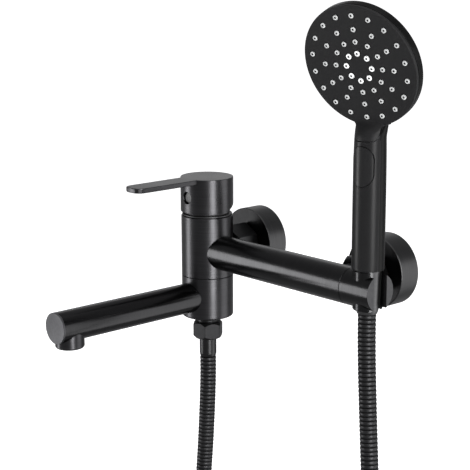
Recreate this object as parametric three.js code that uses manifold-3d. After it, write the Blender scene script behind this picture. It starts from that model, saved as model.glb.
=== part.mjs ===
// Wall-mounted bath mixer with a swivel spout, a single lever, a bar with a handset holder at its
// end, a pillar handset and its metal hose. Millimetres, +Z up, wall on the plane y = 0, faucet on
// the side y < 0. The origin is on the wall, midway between the two inlets.
import * as THREE from 'three';
import { mergeVertices } from 'three/addons/utils/BufferGeometryUtils.js';
import Module from 'manifold-3d';

const wasm = await Module();
wasm.setup();

// Driving dimensions
const INLET_SPACING = 150;
const AXIS_OUT = 65.5; // from the wall to the axis of the bar and of the valve body
const GAP = 0.3; // between pieces that touch
const FINE = 24; // sides of a large turned piece
const COARSE = 12; // sides of a small turned piece

const BODY_RADIUS = 22;
const BODY_TOP = 30.5;
const BODY_SEAM = -21.3;
const BODY_BOTTOM = -57.5;
const CORE_RADIUS = 14.6;
const CORE_BORE = 6.5;
const CHAMBER_RADIUS = 17.7;
const CHAMBER_FLOOR = 6;

const BAR_RADIUS = 14.6;
const BAR_BORE = 12.4;
const BAR_END = 93.3;
const HOLDER_X = 110;
const HOLDER_END = 122.9;
const HOLDER_TOP = 15.7;
const HOLDER_BOTTOM = -15.6;
const SLOT_WIDTH = 14.3;

const ROSETTE_RADIUS = 29.2;
const ROSETTE_DEPTH = 19.6;
const ECCENTRIC_DROP = 6;
const STUB_RADIUS = 10.8;
const STUB_BORE = 7.8;
const STUB_END = 36.2; // from the wall
const NUT_FLATS = 30;

const CAP_RADIUS = 22.4;
const CAP_BOTTOM = 34;
const CAP_TOP = 63.4;
const PIVOT_Z = 36;
const LIFT_ANGLE = 25;
const LEVER_REACH = 81.6;
const LEVER_WIDTH = 20.5;
const LEVER_THICKNESS = 4.2;
const PLUG_Z = 47.2;

const SPOUT_Z = -39.3;
const SPOUT_RADIUS = 12.7;
const SPOUT_BORE = 10.8;
const SPOUT_REACH = 158.5;
const AERATOR_REACH = 144.5;
const AERATOR_RADIUS = 11.7;
const AERATOR_BOTTOM = -57;

const HANDSET_TURN = 9.5; // degrees, towards +X
const HANDLE_RADIUS = 12.5;
const HANDLE_BOTTOM = 16.3;
const HEAD_RADIUS = 47.4;
const HEAD_HEIGHT = 168.8;
const HEAD_FORWARD = 16.7;
const HEAD_TILT = 20;
const NOZZLE_RINGS = [
  { count: 8, radius: 10.7, turn: 42 },
  { count: 12, radius: 19.75, turn: 28 },
  { count: 12, radius: 29.2, turn: 28 },
  { count: 18, radius: 39.7, turn: 8 },
];
const BUTTON_Z = 95.6;
const BUTTON_WIDTH = 18.5;
const BUTTON_HEIGHT = 30;

const HOSE_RADIUS = 7;
const COIL_RADIUS = 82.5; // at the middle of the turns
const COIL_CENTRE = { x: 17.5, z: -388 };
const COIL_PITCH = 15; // one turn to the next, along y
const COIL_TURNS = 1.5;
const LEG_STUB = 52; // the height above the coil's centre at which a leg meets the coil's solid

const COLOURS = {
  metal: { color: 0x2b2a2d, roughness: 0.35, metalness: 0.85 },
  face: { color: 0x4a4a4c, roughness: 0.4, metalness: 0.8 },
  plastic: { color: 0x232324, roughness: 0.5, metalness: 0 },
  silicone: { color: 0xb9bbbb, roughness: 0.6, metalness: 0 },
  hose: { color: 0x1c1c1d, roughness: 0.3, metalness: 0.9 },
  brass: { color: 0xb08d4c, roughness: 0.35, metalness: 1 },
  rubber: { color: 0x161616, roughness: 0.8, metalness: 0 },
  ceramic: { color: 0xe8e6df, roughness: 0.3, metalness: 0 },
  steel: { color: 0x9a9c9f, roughness: 0.3, metalness: 1 },
  white: { color: 0xd9dadb, roughness: 0.5, metalness: 0 },
  red: { color: 0xa63a32, roughness: 0.5, metalness: 0 },
};

const rad = THREE.MathUtils.degToRad;

// Solids: every piece becomes one closed body before it is joined, cut or shown.
function signedVolume(points, a, b, c) {
  const [pa, pb, pc] = [a, b, c].map((i) => new THREE.Vector3().fromArray(points, 3 * i));
  return pa.dot(pb.cross(pc)) / 6;
}

function solid(geometry) {
  const bare = geometry.index ? geometry.toNonIndexed() : geometry.clone();
  bare.deleteAttribute('normal');
  bare.deleteAttribute('uv');
  const merged = mergeVertices(bare, 1e-3);
  const points = merged.attributes.position.array;
  const corners = [];
  let volume = 0;
  for (let i = 0; i < merged.index.count; i += 3) {
    const [a, b, c] = merged.index.array.slice(i, i + 3);
    if (a !== b && b !== c && c !== a) {
      corners.push(a, b, c);
      volume += signedVolume(points, a, b, c);
    }
  }
  if (volume < 0) corners.reverse();
  const mesh = new wasm.Mesh({
    numProp: 3,
    vertProperties: new Float32Array(points),
    triVerts: Uint32Array.from(corners),
  });
  return new wasm.Manifold(mesh);
}

function joined(...solids) {
  return solids.reduce((sum, next) => sum.add(next));
}

function cut(base, ...tools) {
  return tools.reduce((left, tool) => left.subtract(tool), base);
}

function shown(name, finish, shape) {
  const mesh = shape.getMesh();
  const geometry = new THREE.BufferGeometry();
  geometry.setAttribute('position', new THREE.BufferAttribute(mesh.vertProperties, 3));
  geometry.setIndex(new THREE.BufferAttribute(mesh.triVerts, 1));
  geometry.computeVertexNormals();
  const material = new THREE.MeshStandardMaterial(COLOURS[finish]);
  const piece = new THREE.Mesh(geometry, material);
  piece.name = name;
  return piece;
}

// A turned piece about the z axis. Its profile is a list of [radius, height]; a profile that does
// not start and end on the axis is closed on itself.
function turned(profile, sides = FINE) {
  const onAxis = profile[0][0] === 0;
  const outline = onAxis ? profile : [...profile, profile[0]];
  const points = outline.map(([r, z]) => new THREE.Vector2(r, z));
  return new THREE.LatheGeometry(points, sides).rotateX(Math.PI / 2);
}

function rod(radius, low, high, sides = FINE) {
  return turned([[0, low], [radius, low], [radius, high], [0, high]], sides);
}

function tube(outer, inner, low, high, sides = FINE) {
  return turned([[inner, low], [outer, low], [outer, high], [inner, high]], sides);
}

// The same along x or y: low and high are then places on that axis.
function rodX(radius, low, high, sides = FINE) {
  return rod(radius, low, high, sides).rotateY(Math.PI / 2);
}

function rodY(radius, low, high, sides = FINE) {
  return rod(radius, -high, -low, sides).rotateX(Math.PI / 2);
}

function tubeX(outer, inner, low, high, sides = FINE) {
  return tube(outer, inner, low, high, sides).rotateY(Math.PI / 2);
}

function block(x, y, z) {
  const size = [x, y, z].map(([low, high]) => high - low);
  const centre = [x, y, z].map(([low, high]) => (high + low) / 2);
  return new THREE.BoxGeometry(...size).translate(...centre);
}

// A hexagon prism with both rims chamfered.
function hexNut(flats, low, high, chamfer = 1.2) {
  const corner = flats / Math.sqrt(3);
  const prism = solid(rod(corner, low, high, 6));
  const rim = turned([
    [0, low], [corner - chamfer, low], [corner + 0.2, low + chamfer],
    [corner + 0.2, high - chamfer], [corner - chamfer, high], [0, high],
  ], COARSE);
  return prism.intersect(solid(rim));
}

function torus(major, minor, z, sides = 6) {
  return new THREE.TorusGeometry(major, minor, sides, FINE).translate(0, 0, z);
}

// A flat outline of an upright slot shape, wide and tall, centred on the origin.
function ovalShape(width, height) {
  const radius = width / 2;
  const straight = height / 2 - radius;
  const shape = new THREE.Shape();
  shape.absarc(0, straight, radius, 0, Math.PI);
  shape.absarc(0, -straight, radius, Math.PI, 2 * Math.PI);
  shape.closePath();
  return shape;
}

// Inlets. In an inlet group z runs out from the wall and y points up.
function rosette() {
  const edge = 0.8;
  const wall = 1.8;
  const hole = 12.4;
  return solid(turned([
    [hole, ROSETTE_DEPTH], [hole, ROSETTE_DEPTH - wall], [ROSETTE_RADIUS - wall, ROSETTE_DEPTH - wall],
    [ROSETTE_RADIUS - wall, 0], [ROSETTE_RADIUS, 0], [ROSETTE_RADIUS, ROSETTE_DEPTH - edge],
    [ROSETTE_RADIUS - edge, ROSETTE_DEPTH],
  ]));
}

function eccentricUnion() {
  const threadIn = 10.4;
  const threadOut = 12;
  const rear = rod(threadIn, -13, 6, COARSE).translate(0, -ECCENTRIC_DROP, 0);
  const middle = rod(16, 3.5, 11, COARSE).translate(0, -ECCENTRIC_DROP / 2, 0);
  const front = rod(threadOut, 9, STUB_END - 2.2, COARSE);
  const rearBore = rod(7, -14, 9.5, COARSE).translate(0, -ECCENTRIC_DROP, 0);
  const frontBore = rod(8.5, 7, 37, COARSE);
  return cut(joined(solid(rear), solid(middle), solid(front)), solid(rearBore), solid(frontBore));
}

function unionNut() {
  const back = 20.6;
  const front = 43;
  const thread = rod(12.6, back - 1, STUB_END + 3.5, COARSE);
  const lip = rod(11.4, STUB_END, front + 1, COARSE);
  return cut(hexNut(NUT_FLATS, back, front), solid(thread), solid(lip));
}

function checkValve() {
  const ring = tube(7.3, 5.6, STUB_END + 0.8, STUB_END + 8.8, COARSE);
  const poppet = rod(4, STUB_END + 2.8, STUB_END + 5.8, COARSE);
  const bridge = block([-6.2, 6.2], [-0.9, 0.9], [STUB_END + 4.8, STUB_END + 7.3]);
  return joined(solid(ring), solid(poppet), solid(bridge));
}

function inlet(side) {
  const group = new THREE.Group();
  group.position.x = side === 'left' ? -INLET_SPACING / 2 : INLET_SPACING / 2;
  group.rotation.x = Math.PI / 2;
  group.add(
    shown(`rosette_${side}`, 'metal', rosette()),
    shown(`eccentric_union_${side}`, 'brass', eccentricUnion()),
    shown(`union_nut_${side}`, 'metal', unionNut()),
    shown(`filter_washer_${side}`, 'rubber', solid(tube(11.6, 7, STUB_END - 1.9, STUB_END - 0.3, COARSE))),
    shown(`check_valve_${side}`, 'white', checkValve()),
  );
  return group;
}

// The stub that an inlet's nut pulls up, on the wall side of the valve body or the bar.
// y runs towards the wall here, and the group's origin is on the axis of the bar.
function stub() {
  const end = AXIS_OUT - STUB_END;
  const collar = end - 3;
  return joined(solid(rodY(STUB_RADIUS, 0, end, COARSE)), solid(rodY(12, collar, end, COARSE)));
}

function stubBore(depth) {
  return solid(rodY(STUB_BORE, depth, AXIS_OUT, COARSE));
}

// Valve body: z up on its own axis.
function valveBody() {
  const edge = 0.5;
  const grooves = [[13, -25.8], [13, -28.2], [CORE_RADIUS, -28.2], [CORE_RADIUS, -49.8],
    [13, -49.8], [13, -52.2], [CORE_RADIUS, -52.2], [CORE_RADIUS, -55.7],
    [13.4, -55.7], [13.4, -57.4]];
  const outside = [
    [0, BODY_TOP], [BODY_RADIUS - edge, BODY_TOP], [BODY_RADIUS, BODY_TOP - edge],
    [BODY_RADIUS, BODY_SEAM + edge], [BODY_RADIUS - edge, BODY_SEAM],
    [CORE_RADIUS, BODY_SEAM], [CORE_RADIUS, -25.8], ...grooves, [0, -57.4],
  ];
  const casting = joined(solid(turned(outside)), stub());
  return cut(
    casting,
    solid(rod(CHAMBER_RADIUS, CHAMBER_FLOOR, BODY_TOP + 1)),
    solid(rod(CORE_BORE, BODY_BOTTOM - 1, -12, COARSE)),
    stubBore(20),
    solid(rodY(5, 7, 21, COARSE)),
    solid(rodX(5, 7, 24, COARSE)),
    solid(rodX(6.4, 15, 24, COARSE)),
    solid(rod(3, -1, CHAMBER_FLOOR + 1, COARSE).translate(0, 9.5, 0)),
    solid(rod(3, -1, CHAMBER_FLOOR + 1, COARSE).translate(9.5, 0, 0)),
    solid(rod(3.5, -14, CHAMBER_FLOOR + 1, COARSE).translate(-5, -5, 0)),
    solid(rodY(4.5, -20, 20, COARSE).translate(0, 0, SPOUT_Z)),
  );
}

const PORTS = [[0, 9.5, 2.8], [9.5, 0, 2.8], [-5, -5, 3.3]];

function withPorts(base, low, high) {
  const holes = PORTS.map(([x, y, r]) => solid(rod(r, low - 1, high + 1, COARSE).translate(x, y, 0)));
  return cut(base, ...holes);
}

function cartridgeHousing() {
  const shell = turned([
    [0, 8.1], [17.2, 8.1], [17.2, 24], [14.9, 24], [14.9, 33.2], [10.4, 33.2], [10.4, 30.3],
    [12.4, 30.3], [12.4, 17.6], [14, 17.6], [14, 9.9], [0, 9.9],
  ]);
  return withPorts(solid(shell), 8.1, 9.9);
}

function cartridgeTurret() {
  const carrier = turned([
    [0, 17.6], [11.6, 17.6], [11.6, 27.3], [12, 27.3], [12, 30], [10, 30], [10, 37], [0, 37],
  ], COARSE);
  const slot = block([-4.5, 4.5], [-8.5, 6.6], [24, 38]);
  return cut(solid(carrier), solid(slot));
}

function domeRing() {
  const sphere = 19.5;
  const low = 32.2;
  const top = 44;
  const steps = 4;
  const arc = Array.from({ length: steps + 1 }, (_, i) => {
    const z = low + ((top - low) * i) / steps;
    return [Math.sqrt(sphere ** 2 - (z - PIVOT_Z) ** 2), z];
  });
  return solid(turned([[15.5, 30.8], [20.6, 30.8], [21, 31.2], [21, 31.8], [20.6, low], ...arc,
    [15.5, top]]));
}

// Lever and cap: one casting on the valve's axis.
function leverBlade() {
  const half = LEVER_WIDTH / 2;
  const corner = 7.5;
  const shape = new THREE.Shape();
  shape.moveTo(half, -4);
  shape.lineTo(-half, -4);
  shape.lineTo(-half, -LEVER_REACH + corner);
  shape.absarc(-half + corner, -LEVER_REACH + corner, corner, Math.PI, 1.5 * Math.PI);
  shape.absarc(half - corner, -LEVER_REACH + corner, corner, 1.5 * Math.PI, 2 * Math.PI);
  shape.closePath();
  const bevel = 0.8;
  const blade = new THREE.ExtrudeGeometry(shape, {
    depth: LEVER_THICKNESS - 2 * bevel,
    bevelThickness: bevel,
    bevelSize: bevel,
    bevelOffset: -bevel,
    bevelSegments: 2,
    curveSegments: 8,
  });
  return solid(blade.translate(0, 0, CAP_TOP - LEVER_THICKNESS + bevel));
}

function leverCap() {
  const edge = 0.5;
  const inside = 20.2;
  const roof = 55;
  const skirtStart = 2;
  const reach = 40;
  const drum = turned([
    [0, CAP_BOTTOM], [CAP_RADIUS, CAP_BOTTOM], [CAP_RADIUS, CAP_TOP - edge],
    [CAP_RADIUS - edge, CAP_TOP], [0, CAP_TOP],
  ]);
  const hollow = turned([
    [8, CAP_BOTTOM - 1], [inside, CAP_BOTTOM - 1], [inside, roof], [8, roof],
  ]);
  const underBoss = rod(9, CAP_BOTTOM - 1, 42, COARSE);
  const socket = block([-4.3, 4.3], [-4.3, 4.3], [41, 53]);
  const plugHole = rodY(5, -CAP_RADIUS - 1, -17, COARSE).translate(0, 0, PLUG_Z);
  const screwHole = rodY(2.8, -18, -3, COARSE).translate(0, 0, PLUG_Z);
  const wedge = block([-reach, reach], [0, reach], [-reach, 0])
    .rotateX(rad(LIFT_ANGLE))
    .translate(0, skirtStart, CAP_BOTTOM);
  return cut(
    joined(solid(drum), leverBlade()),
    solid(hollow),
    solid(underBoss),
    solid(socket),
    solid(plugHole),
    solid(screwHole),
    solid(wedge),
  );
}

function grubScrew() {
  const screw = solid(rodY(2.5, -13, -4.6, COARSE));
  const key = solid(rodY(1.3, -14, -10.5, 6));
  return cut(screw, key).translate(0, 0, PLUG_Z);
}

function indicatorPlug() {
  const plug = rodY(4.7, -CAP_RADIUS + 0.9, -CAP_RADIUS + 4, COARSE);
  return solid(plug.translate(0, 0, PLUG_Z));
}

function valve() {
  const group = new THREE.Group();
  group.position.set(-INLET_SPACING / 2, -AXIS_OUT, 0);
  const gasket = withPorts(solid(rod(16.6, 6.3, 7.8)), 6.3, 7.8);
  const fixedDisc = withPorts(solid(rod(13.5, 10.2, 13.4, COARSE)), 10.2, 13.4);
  const movingDisc = cut(
    solid(rod(11.6, 13.7, 17.3, COARSE)),
    solid(rod(6.8, 12, 15.6, COARSE)),
  );
  group.add(
    shown('valve_body', 'metal', valveBody()),
    shown('cartridge_gasket', 'rubber', gasket),
    shown('cartridge_housing', 'white', cartridgeHousing()),
    shown('ceramic_disc_fixed', 'ceramic', fixedDisc),
    shown('ceramic_disc_moving', 'ceramic', movingDisc),
    shown('cartridge_turret', 'white', cartridgeTurret()),
    shown('retaining_nut', 'brass', solid(tube(17.4, 15.2, 24.3, 30.2))),
    shown('dome_ring', 'metal', domeRing()),
    shown('cartridge_stem', 'steel', solid(block([-4, 4], [-4, 4], [29, 52.6]))),
    shown('lever_cap', 'metal', leverCap()),
    shown('lever_grub_screw', 'steel', grubScrew()),
    shown('indicator_plug', 'rubber', indicatorPlug()),
    shown('core_seal_upper', 'rubber', solid(torus(13.95, 0.8, -27))),
    shown('core_seal_lower', 'rubber', solid(torus(13.95, 0.8, -51))),
    shown('retaining_ring', 'steel', solid(tube(16, 13.8, -57.1, -56))),
    outlet(),
    spout(),
  );
  return group;
}

// Outlet under the body, with the hose's nut and ferrule.
function outlet() {
  const group = new THREE.Group();
  const nipple = turned([
    [4.6, -52], [6.2, -52], [6.2, -57.9], [9.9, -57.9], [9.9, -60.6], [9.4, -60.9], [9.7, -61.8],
    [9.7, -71.4], [9.2, -72], [4.6, -72],
  ], COARSE);
  const nutBottom = -78;
  const nut = cut(
    hexNut(22.8, nutBottom, -61.5, 1.6),
    solid(rod(10.1, -76, -60, COARSE)),
    solid(rod(7.7, nutBottom - 1, -75, COARSE)),
  );
  const ferrule = turned([
    [4.6, -94.8], [6.8, -94.8], [7.3, -94.2], [7.3, -75.7], [9.6, -75.7], [9.6, -74.3], [4.6, -74.3],
  ], COARSE);
  group.add(
    shown('outlet_nipple', 'brass', solid(nipple)),
    shown('hose_nut', 'metal', nut),
    shown('hose_washer', 'rubber', solid(tube(9.6, 5, -74, -72.4, COARSE))),
    shown('hose_ferrule', 'hose', solid(ferrule)),
  );
  return group;
}

// Swivel spout on the lower part of the body.
function spoutCollar() {
  const edge = 0.5;
  const round = 1.6;
  const outside = turned([
    [15, BODY_SEAM - 1.9], [19.9, BODY_SEAM - 1.9], [19.9, BODY_SEAM - GAP],
    [BODY_RADIUS - edge, BODY_SEAM - GAP], [BODY_RADIUS, BODY_SEAM - GAP - edge],
    [BODY_RADIUS, BODY_BOTTOM + round], [BODY_RADIUS - 0.5, BODY_BOTTOM + 0.5],
    [BODY_RADIUS - round, BODY_BOTTOM], [16.4, BODY_BOTTOM], [16.4, -55.6], [15, -55.6],
    [15, -46], [17.5, -46], [17.5, -32.6], [15, -32.6],
  ]);
  const spigot = rodY(10.5, -34, -18.5, COARSE).translate(0, 0, SPOUT_Z);
  const port = rodY(8.2, -35, -16, COARSE).translate(0, 0, SPOUT_Z);
  return cut(joined(solid(outside), solid(spigot)), solid(port));
}

function spoutTube() {
  const end = -SPOUT_REACH + 1.8;
  const pipe = solid(rodY(SPOUT_RADIUS, end, -12));
  const bore = solid(rodY(SPOUT_BORE, end - 1, -11));
  const saddle = solid(rod(BODY_RADIUS + GAP, -30, 30));
  const hole = solid(rod(10, -20, -5).translate(0, -AERATOR_REACH, 0));
  return cut(pipe, bore, saddle, hole).translate(0, 0, SPOUT_Z);
}

function spoutEndCap() {
  const disc = rodY(SPOUT_RADIUS, -SPOUT_REACH, -SPOUT_REACH + 1.5);
  const spigot = rodY(SPOUT_BORE - GAP, -SPOUT_REACH + 1, -SPOUT_REACH + 3.2);
  return joined(solid(disc), solid(spigot)).translate(0, 0, SPOUT_Z);
}

function diverterSleeve() {
  const ring = tube(17.2, 15, -45.7, -32.9);
  const window = rodY(7, -20, -10, COARSE).translate(0, 0, SPOUT_Z);
  return cut(solid(ring), solid(window));
}

function aeratorHousing() {
  const pipe = rodY(SPOUT_RADIUS + GAP, -40, 40).translate(0, 0, SPOUT_Z);
  const skirt = turned([
    [8.6, AERATOR_BOTTOM], [AERATOR_RADIUS - 0.6, AERATOR_BOTTOM],
    [AERATOR_RADIUS, AERATOR_BOTTOM + 0.6], [AERATOR_RADIUS, -42], [8.6, -42],
  ]);
  const thread = tube(9.6, 8.6, AERATOR_BOTTOM + 3, -48.5);
  const ledge = tube(9, 7, -50.4, -48.5);
  return joined(cut(solid(skirt), solid(pipe)), solid(thread), solid(ledge));
}

function aeratorInsert() {
  const disc = solid(rod(8.3, -56.4, -51.6, COARSE));
  const holes = [[0, 0]];
  for (let i = 0; i < 6; i += 1) {
    const angle = (i * Math.PI) / 3;
    holes.push([4.9 * Math.cos(angle), 4.9 * Math.sin(angle)]);
  }
  return cut(disc, ...holes.map(([x, y]) => solid(rod(2, -57, -51, 6).translate(x, y, 0))));
}

function spout() {
  const group = new THREE.Group();
  const aerator = new THREE.Group();
  aerator.position.y = -AERATOR_REACH;
  aerator.add(
    shown('aerator_housing', 'metal', aeratorHousing()),
    shown('aerator_insert', 'plastic', aeratorInsert()),
    shown('aerator_washer', 'rubber', solid(tube(8.3, 6.4, -51.3, -50.7, COARSE))),
  );
  group.add(
    shown('spout_collar', 'metal', spoutCollar()),
    shown('spout_tube', 'metal', spoutTube()),
    shown('spout_end_cap', 'face', spoutEndCap()),
    shown('diverter_sleeve', 'white', diverterSleeve()),
    shown('slide_ring', 'white', solid(tube(19.6, 15, BODY_SEAM - 1.6, BODY_SEAM - GAP))),
    aerator,
  );
  return group;
}

// Bar from the valve body to the holder, with the right inlet's stub. x runs along it.
function barTube() {
  const start = -INLET_SPACING / 2 + 14;
  const rightInlet = INLET_SPACING / 2;
  const saddle = rod(BODY_RADIUS + GAP, -20, 20).translate(-INLET_SPACING / 2, 0, 0);
  return cut(
    joined(solid(rodX(BAR_RADIUS, start, BAR_END)), stub().translate(rightInlet, 0, 0)),
    solid(rodX(BAR_BORE, start - 1, BAR_END + 1)),
    stubBore(8).translate(rightInlet, 0, 0),
    solid(saddle),
  );
}

function supplyElbow() {
  const rightInlet = INLET_SPACING / 2;
  return cut(
    solid(rodX(12.1, rightInlet - 12, rightInlet + 11)),
    solid(rodX(6.3, rightInlet - 13, rightInlet - 5, COARSE)),
    solid(rodX(4.6, rightInlet - 8, rightInlet + 3, COARSE)),
    solid(rodY(6, -3, 14, COARSE).translate(rightInlet, 0, 0)),
  );
}

function bar() {
  const group = new THREE.Group();
  group.position.y = -AXIS_OUT;
  const tubeStart = -INLET_SPACING / 2 + 15.4;
  const tubeEnd = INLET_SPACING / 2 - 5.5;
  const plug = rodX(12.1, INLET_SPACING / 2 + 12, HOLDER_X - 11.6);
  group.add(
    shown('bar_tube', 'metal', barTube()),
    shown('supply_tube', 'brass', solid(tubeX(6, 4.6, tubeStart, tubeEnd, COARSE))),
    shown('supply_elbow', 'brass', supplyElbow()),
    shown('bar_plug', 'brass', solid(plug)),
  );
  return group;
}

// Holder: z up on the socket's axis, x towards the bar's free end.
function holderBody() {
  const end = HOLDER_END - HOLDER_X;
  const start = BAR_END + GAP - HOLDER_X;
  const drum = turned([
    [0, start], [BAR_RADIUS, start], [BAR_RADIUS, end - 0.5], [BAR_RADIUS - 0.5, end], [0, end],
  ]).rotateY(Math.PI / 2);
  const collar = turned([
    [0, HOLDER_BOTTOM], [10.9, HOLDER_BOTTOM], [11.3, HOLDER_BOTTOM + 1], [11.3, 0],
    [11.7, 2], [11.7, HOLDER_TOP - 0.3], [11.4, HOLDER_TOP], [0, HOLDER_TOP],
  ]);
  const socket = turned([
    [0, HOLDER_BOTTOM - 1], [9.9, HOLDER_BOTTOM - 1], [10.7, HOLDER_TOP + 1], [0, HOLDER_TOP + 1],
  ]);
  const slot = block([0, 40], [-SLOT_WIDTH / 2, SLOT_WIDTH / 2], [-30, 30]);
  return cut(
    joined(solid(drum), solid(collar)),
    solid(rodX(12.4, start - 1, -11.3)),
    solid(socket),
    solid(slot),
  );
}

function holderLiner() {
  const low = HOLDER_BOTTOM + 0.3;
  const high = HOLDER_TOP - 0.3;
  const sleeve = turned([[8.95, low], [9.6, low], [10.35, high], [9.7, high]]);
  const slot = block([0, 40], [-SLOT_WIDTH / 2, SLOT_WIDTH / 2], [-30, 30]);
  return cut(solid(sleeve), solid(slot));
}

function coneNut() {
  return solid(turned([
    [7.2, -18], [7.6, -18], [8.6, -15.4], [9.4, 15.9], [9.4, 16.6], [11.2, 16.6], [11.2, 29],
    [10.2, 29], [10.2, 18], [7.2, 18],
  ]));
}

// Handset: z up on the handle's axis, front towards -y.
function ringSection({ z, front, back, half }, sides) {
  const centre = (front + back) / 2;
  const depth = (back - front) / 2;
  return Array.from({ length: sides }, (_, i) => {
    const angle = (2 * Math.PI * i) / sides;
    return new THREE.Vector3(half * Math.cos(angle), centre + depth * Math.sin(angle), z);
  });
}

// A skin over a stack of sections with the same number of points, closed by a fan at each end.
function loft(sections, sides = FINE) {
  const rings = sections.map((section) => ringSection(section, sides));
  const middle = (ring) => ring
    .reduce((sum, point) => sum.add(point), new THREE.Vector3())
    .divideScalar(ring.length);
  const points = [...rings.flat(), middle(rings[0]), middle(rings.at(-1))];
  const bottom = rings.length * sides;
  const index = [];
  for (let i = 0; i < sides; i += 1) {
    const next = (i + 1) % sides;
    for (let k = 0; k + 1 < rings.length; k += 1) {
      const low = k * sides;
      const high = low + sides;
      index.push(low + i, low + next, high + next, low + i, high + next, high + i);
    }
    const last = (rings.length - 1) * sides;
    index.push(bottom, next, i, bottom + 1, last + i, last + next);
  }
  const geometry = new THREE.BufferGeometry().setFromPoints(points);
  geometry.setIndex(index);
  return geometry;
}

function inHead(geometry) {
  return geometry.rotateX(rad(90 + HEAD_TILT)).translate(0, -HEAD_FORWARD, HEAD_HEIGHT);
}

function headShellOutside() {
  return inHead(turned([
    [0, -3], [HEAD_RADIUS - 0.4, -3], [HEAD_RADIUS, -3.6], [HEAD_RADIUS, -9], [HEAD_RADIUS - 1, -11.5],
    [HEAD_RADIUS - 4, -13.6], [36, -15.2], [24, -16.4], [12, -17], [0, -17.2],
  ]));
}

function headShellInside() {
  return inHead(turned([[0, -2], [45.2, -2], [45.2, -10], [42, -11.8], [0, -14.2]]));
}

function handleOutside() {
  return loft([
    { z: HANDLE_BOTTOM, front: -12.3, back: 12.3, half: 12.3 },
    { z: HANDLE_BOTTOM + 1, front: -12.5, back: 12.5, half: 12.5 },
    { z: 70, front: -12.5, back: 12.5, half: 12.5 },
    { z: 100, front: -12.2, back: 12.3, half: 12.2 },
    { z: 115, front: -11.7, back: 12, half: 11.9 },
    { z: 121, front: -10, back: 11.8, half: 12.4 },
    { z: 126, front: -7.4, back: 11.5, half: 13.6 },
    { z: 131, front: -3.6, back: 11.2, half: 16.5 },
    { z: 137, front: -1.8, back: 10.6, half: 19 },
    { z: 148, front: -4, back: 8.6, half: 17 },
    { z: 158, front: -5, back: 4.4, half: 12 },
  ]);
}

function handsetShell() {
  const skirt = rod(11.6, HANDLE_BOTTOM - 1, 31);
  const seat = rod(8.3, 30, 38, COARSE);
  const waterway = rod(5, 37, 140, COARSE).translate(0, 4, 0);
  const pocket = new THREE.ExtrudeGeometry(ovalShape(BUTTON_WIDTH + 0.6, BUTTON_HEIGHT + 0.6), {
    depth: 7,
    bevelEnabled: false,
    curveSegments: 10,
  }).rotateX(Math.PI / 2).translate(0, -7.2, BUTTON_Z);
  const well = rodY(2.9, -8, -2.6, COARSE).translate(0, 0, BUTTON_Z);
  const faceRoom = inHead(rod(HEAD_RADIUS + 0.2, -3, 30));
  const outside = joined(
    solid(handleOutside()),
    solid(headShellOutside()),
  );
  return cut(outside, solid(faceRoom), solid(headShellInside()), solid(skirt), solid(seat),
    solid(waterway), solid(pocket), solid(well));
}

function nozzlePlaces() {
  return NOZZLE_RINGS.flatMap(({ count, radius, turn }) => Array.from({ length: count }, (_, i) => {
    const angle = rad(turn + (360 * i) / count);
    return [radius * Math.cos(angle), radius * Math.sin(angle)];
  }));
}

function handsetFace() {
  const plate = turned([
    [0, -2.7], [HEAD_RADIUS - 0.3, -2.7], [HEAD_RADIUS - 0.3, -0.6], [HEAD_RADIUS - 0.9, 0], [0, 0],
  ]);
  const holes = nozzlePlaces().map(([x, y]) => rod(1.95, -3.5, 1, 4).translate(x, y, 0));
  return cut(solid(plate), ...holes.map(solid));
}

function nozzleMat() {
  const sheet = solid(rod(43, -4.6, -3));
  const nubs = nozzlePlaces().map(([x, y]) => solid(rod(1.35, -3.5, 0.9, 4).translate(x, y, 0)));
  return joined(sheet, ...nubs);
}

function sprayPlate() {
  const plate = rod(43, -8, -4.9);
  const ports = [6, 24.5].flatMap((radius, ring) => Array.from({ length: 4 + 4 * ring }, (_, i) => {
    const angle = (2 * Math.PI * i) / (4 + 4 * ring);
    return solid(rod(2, -9, -4, 6).translate(radius * Math.cos(angle), radius * Math.sin(angle), 0));
  }));
  return cut(solid(plate), ...ports);
}

function modeButton() {
  const pad = new THREE.ExtrudeGeometry(ovalShape(BUTTON_WIDTH, BUTTON_HEIGHT), {
    depth: 6,
    bevelEnabled: false,
    curveSegments: 10,
  }).rotateX(Math.PI / 2).translate(0, -9, BUTTON_Z);
  const skin = rod(12.7, BUTTON_Z - 20, BUTTON_Z + 20);
  return solid(pad).intersect(solid(skin));
}

class Helix extends THREE.Curve {
  constructor(radius, turns, length) {
    super();
    Object.assign(this, { radius, turns, length });
  }

  getPoint(t, target = new THREE.Vector3()) {
    const angle = 2 * Math.PI * this.turns * t;
    return target.set(this.radius * Math.cos(angle), this.length * t, this.radius * Math.sin(angle));
  }
}

function roundSection(radius, sides) {
  const shape = new THREE.Shape();
  for (let i = 0; i < sides; i += 1) {
    const angle = (2 * Math.PI * i) / sides;
    const place = [radius * Math.cos(angle), radius * Math.sin(angle)];
    if (i === 0) shape.moveTo(...place);
    else shape.lineTo(...place);
  }
  shape.closePath();
  return shape;
}

function alongCurve(curve, radius, sides, steps) {
  return new THREE.ExtrudeGeometry(roundSection(radius, sides), { extrudePath: curve, steps });
}

function buttonSpring() {
  const coil = alongCurve(new Helix(2, 3, 3.6), 0.35, 5, 27);
  return solid(coil.translate(0, -8.3, BUTTON_Z));
}

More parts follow.
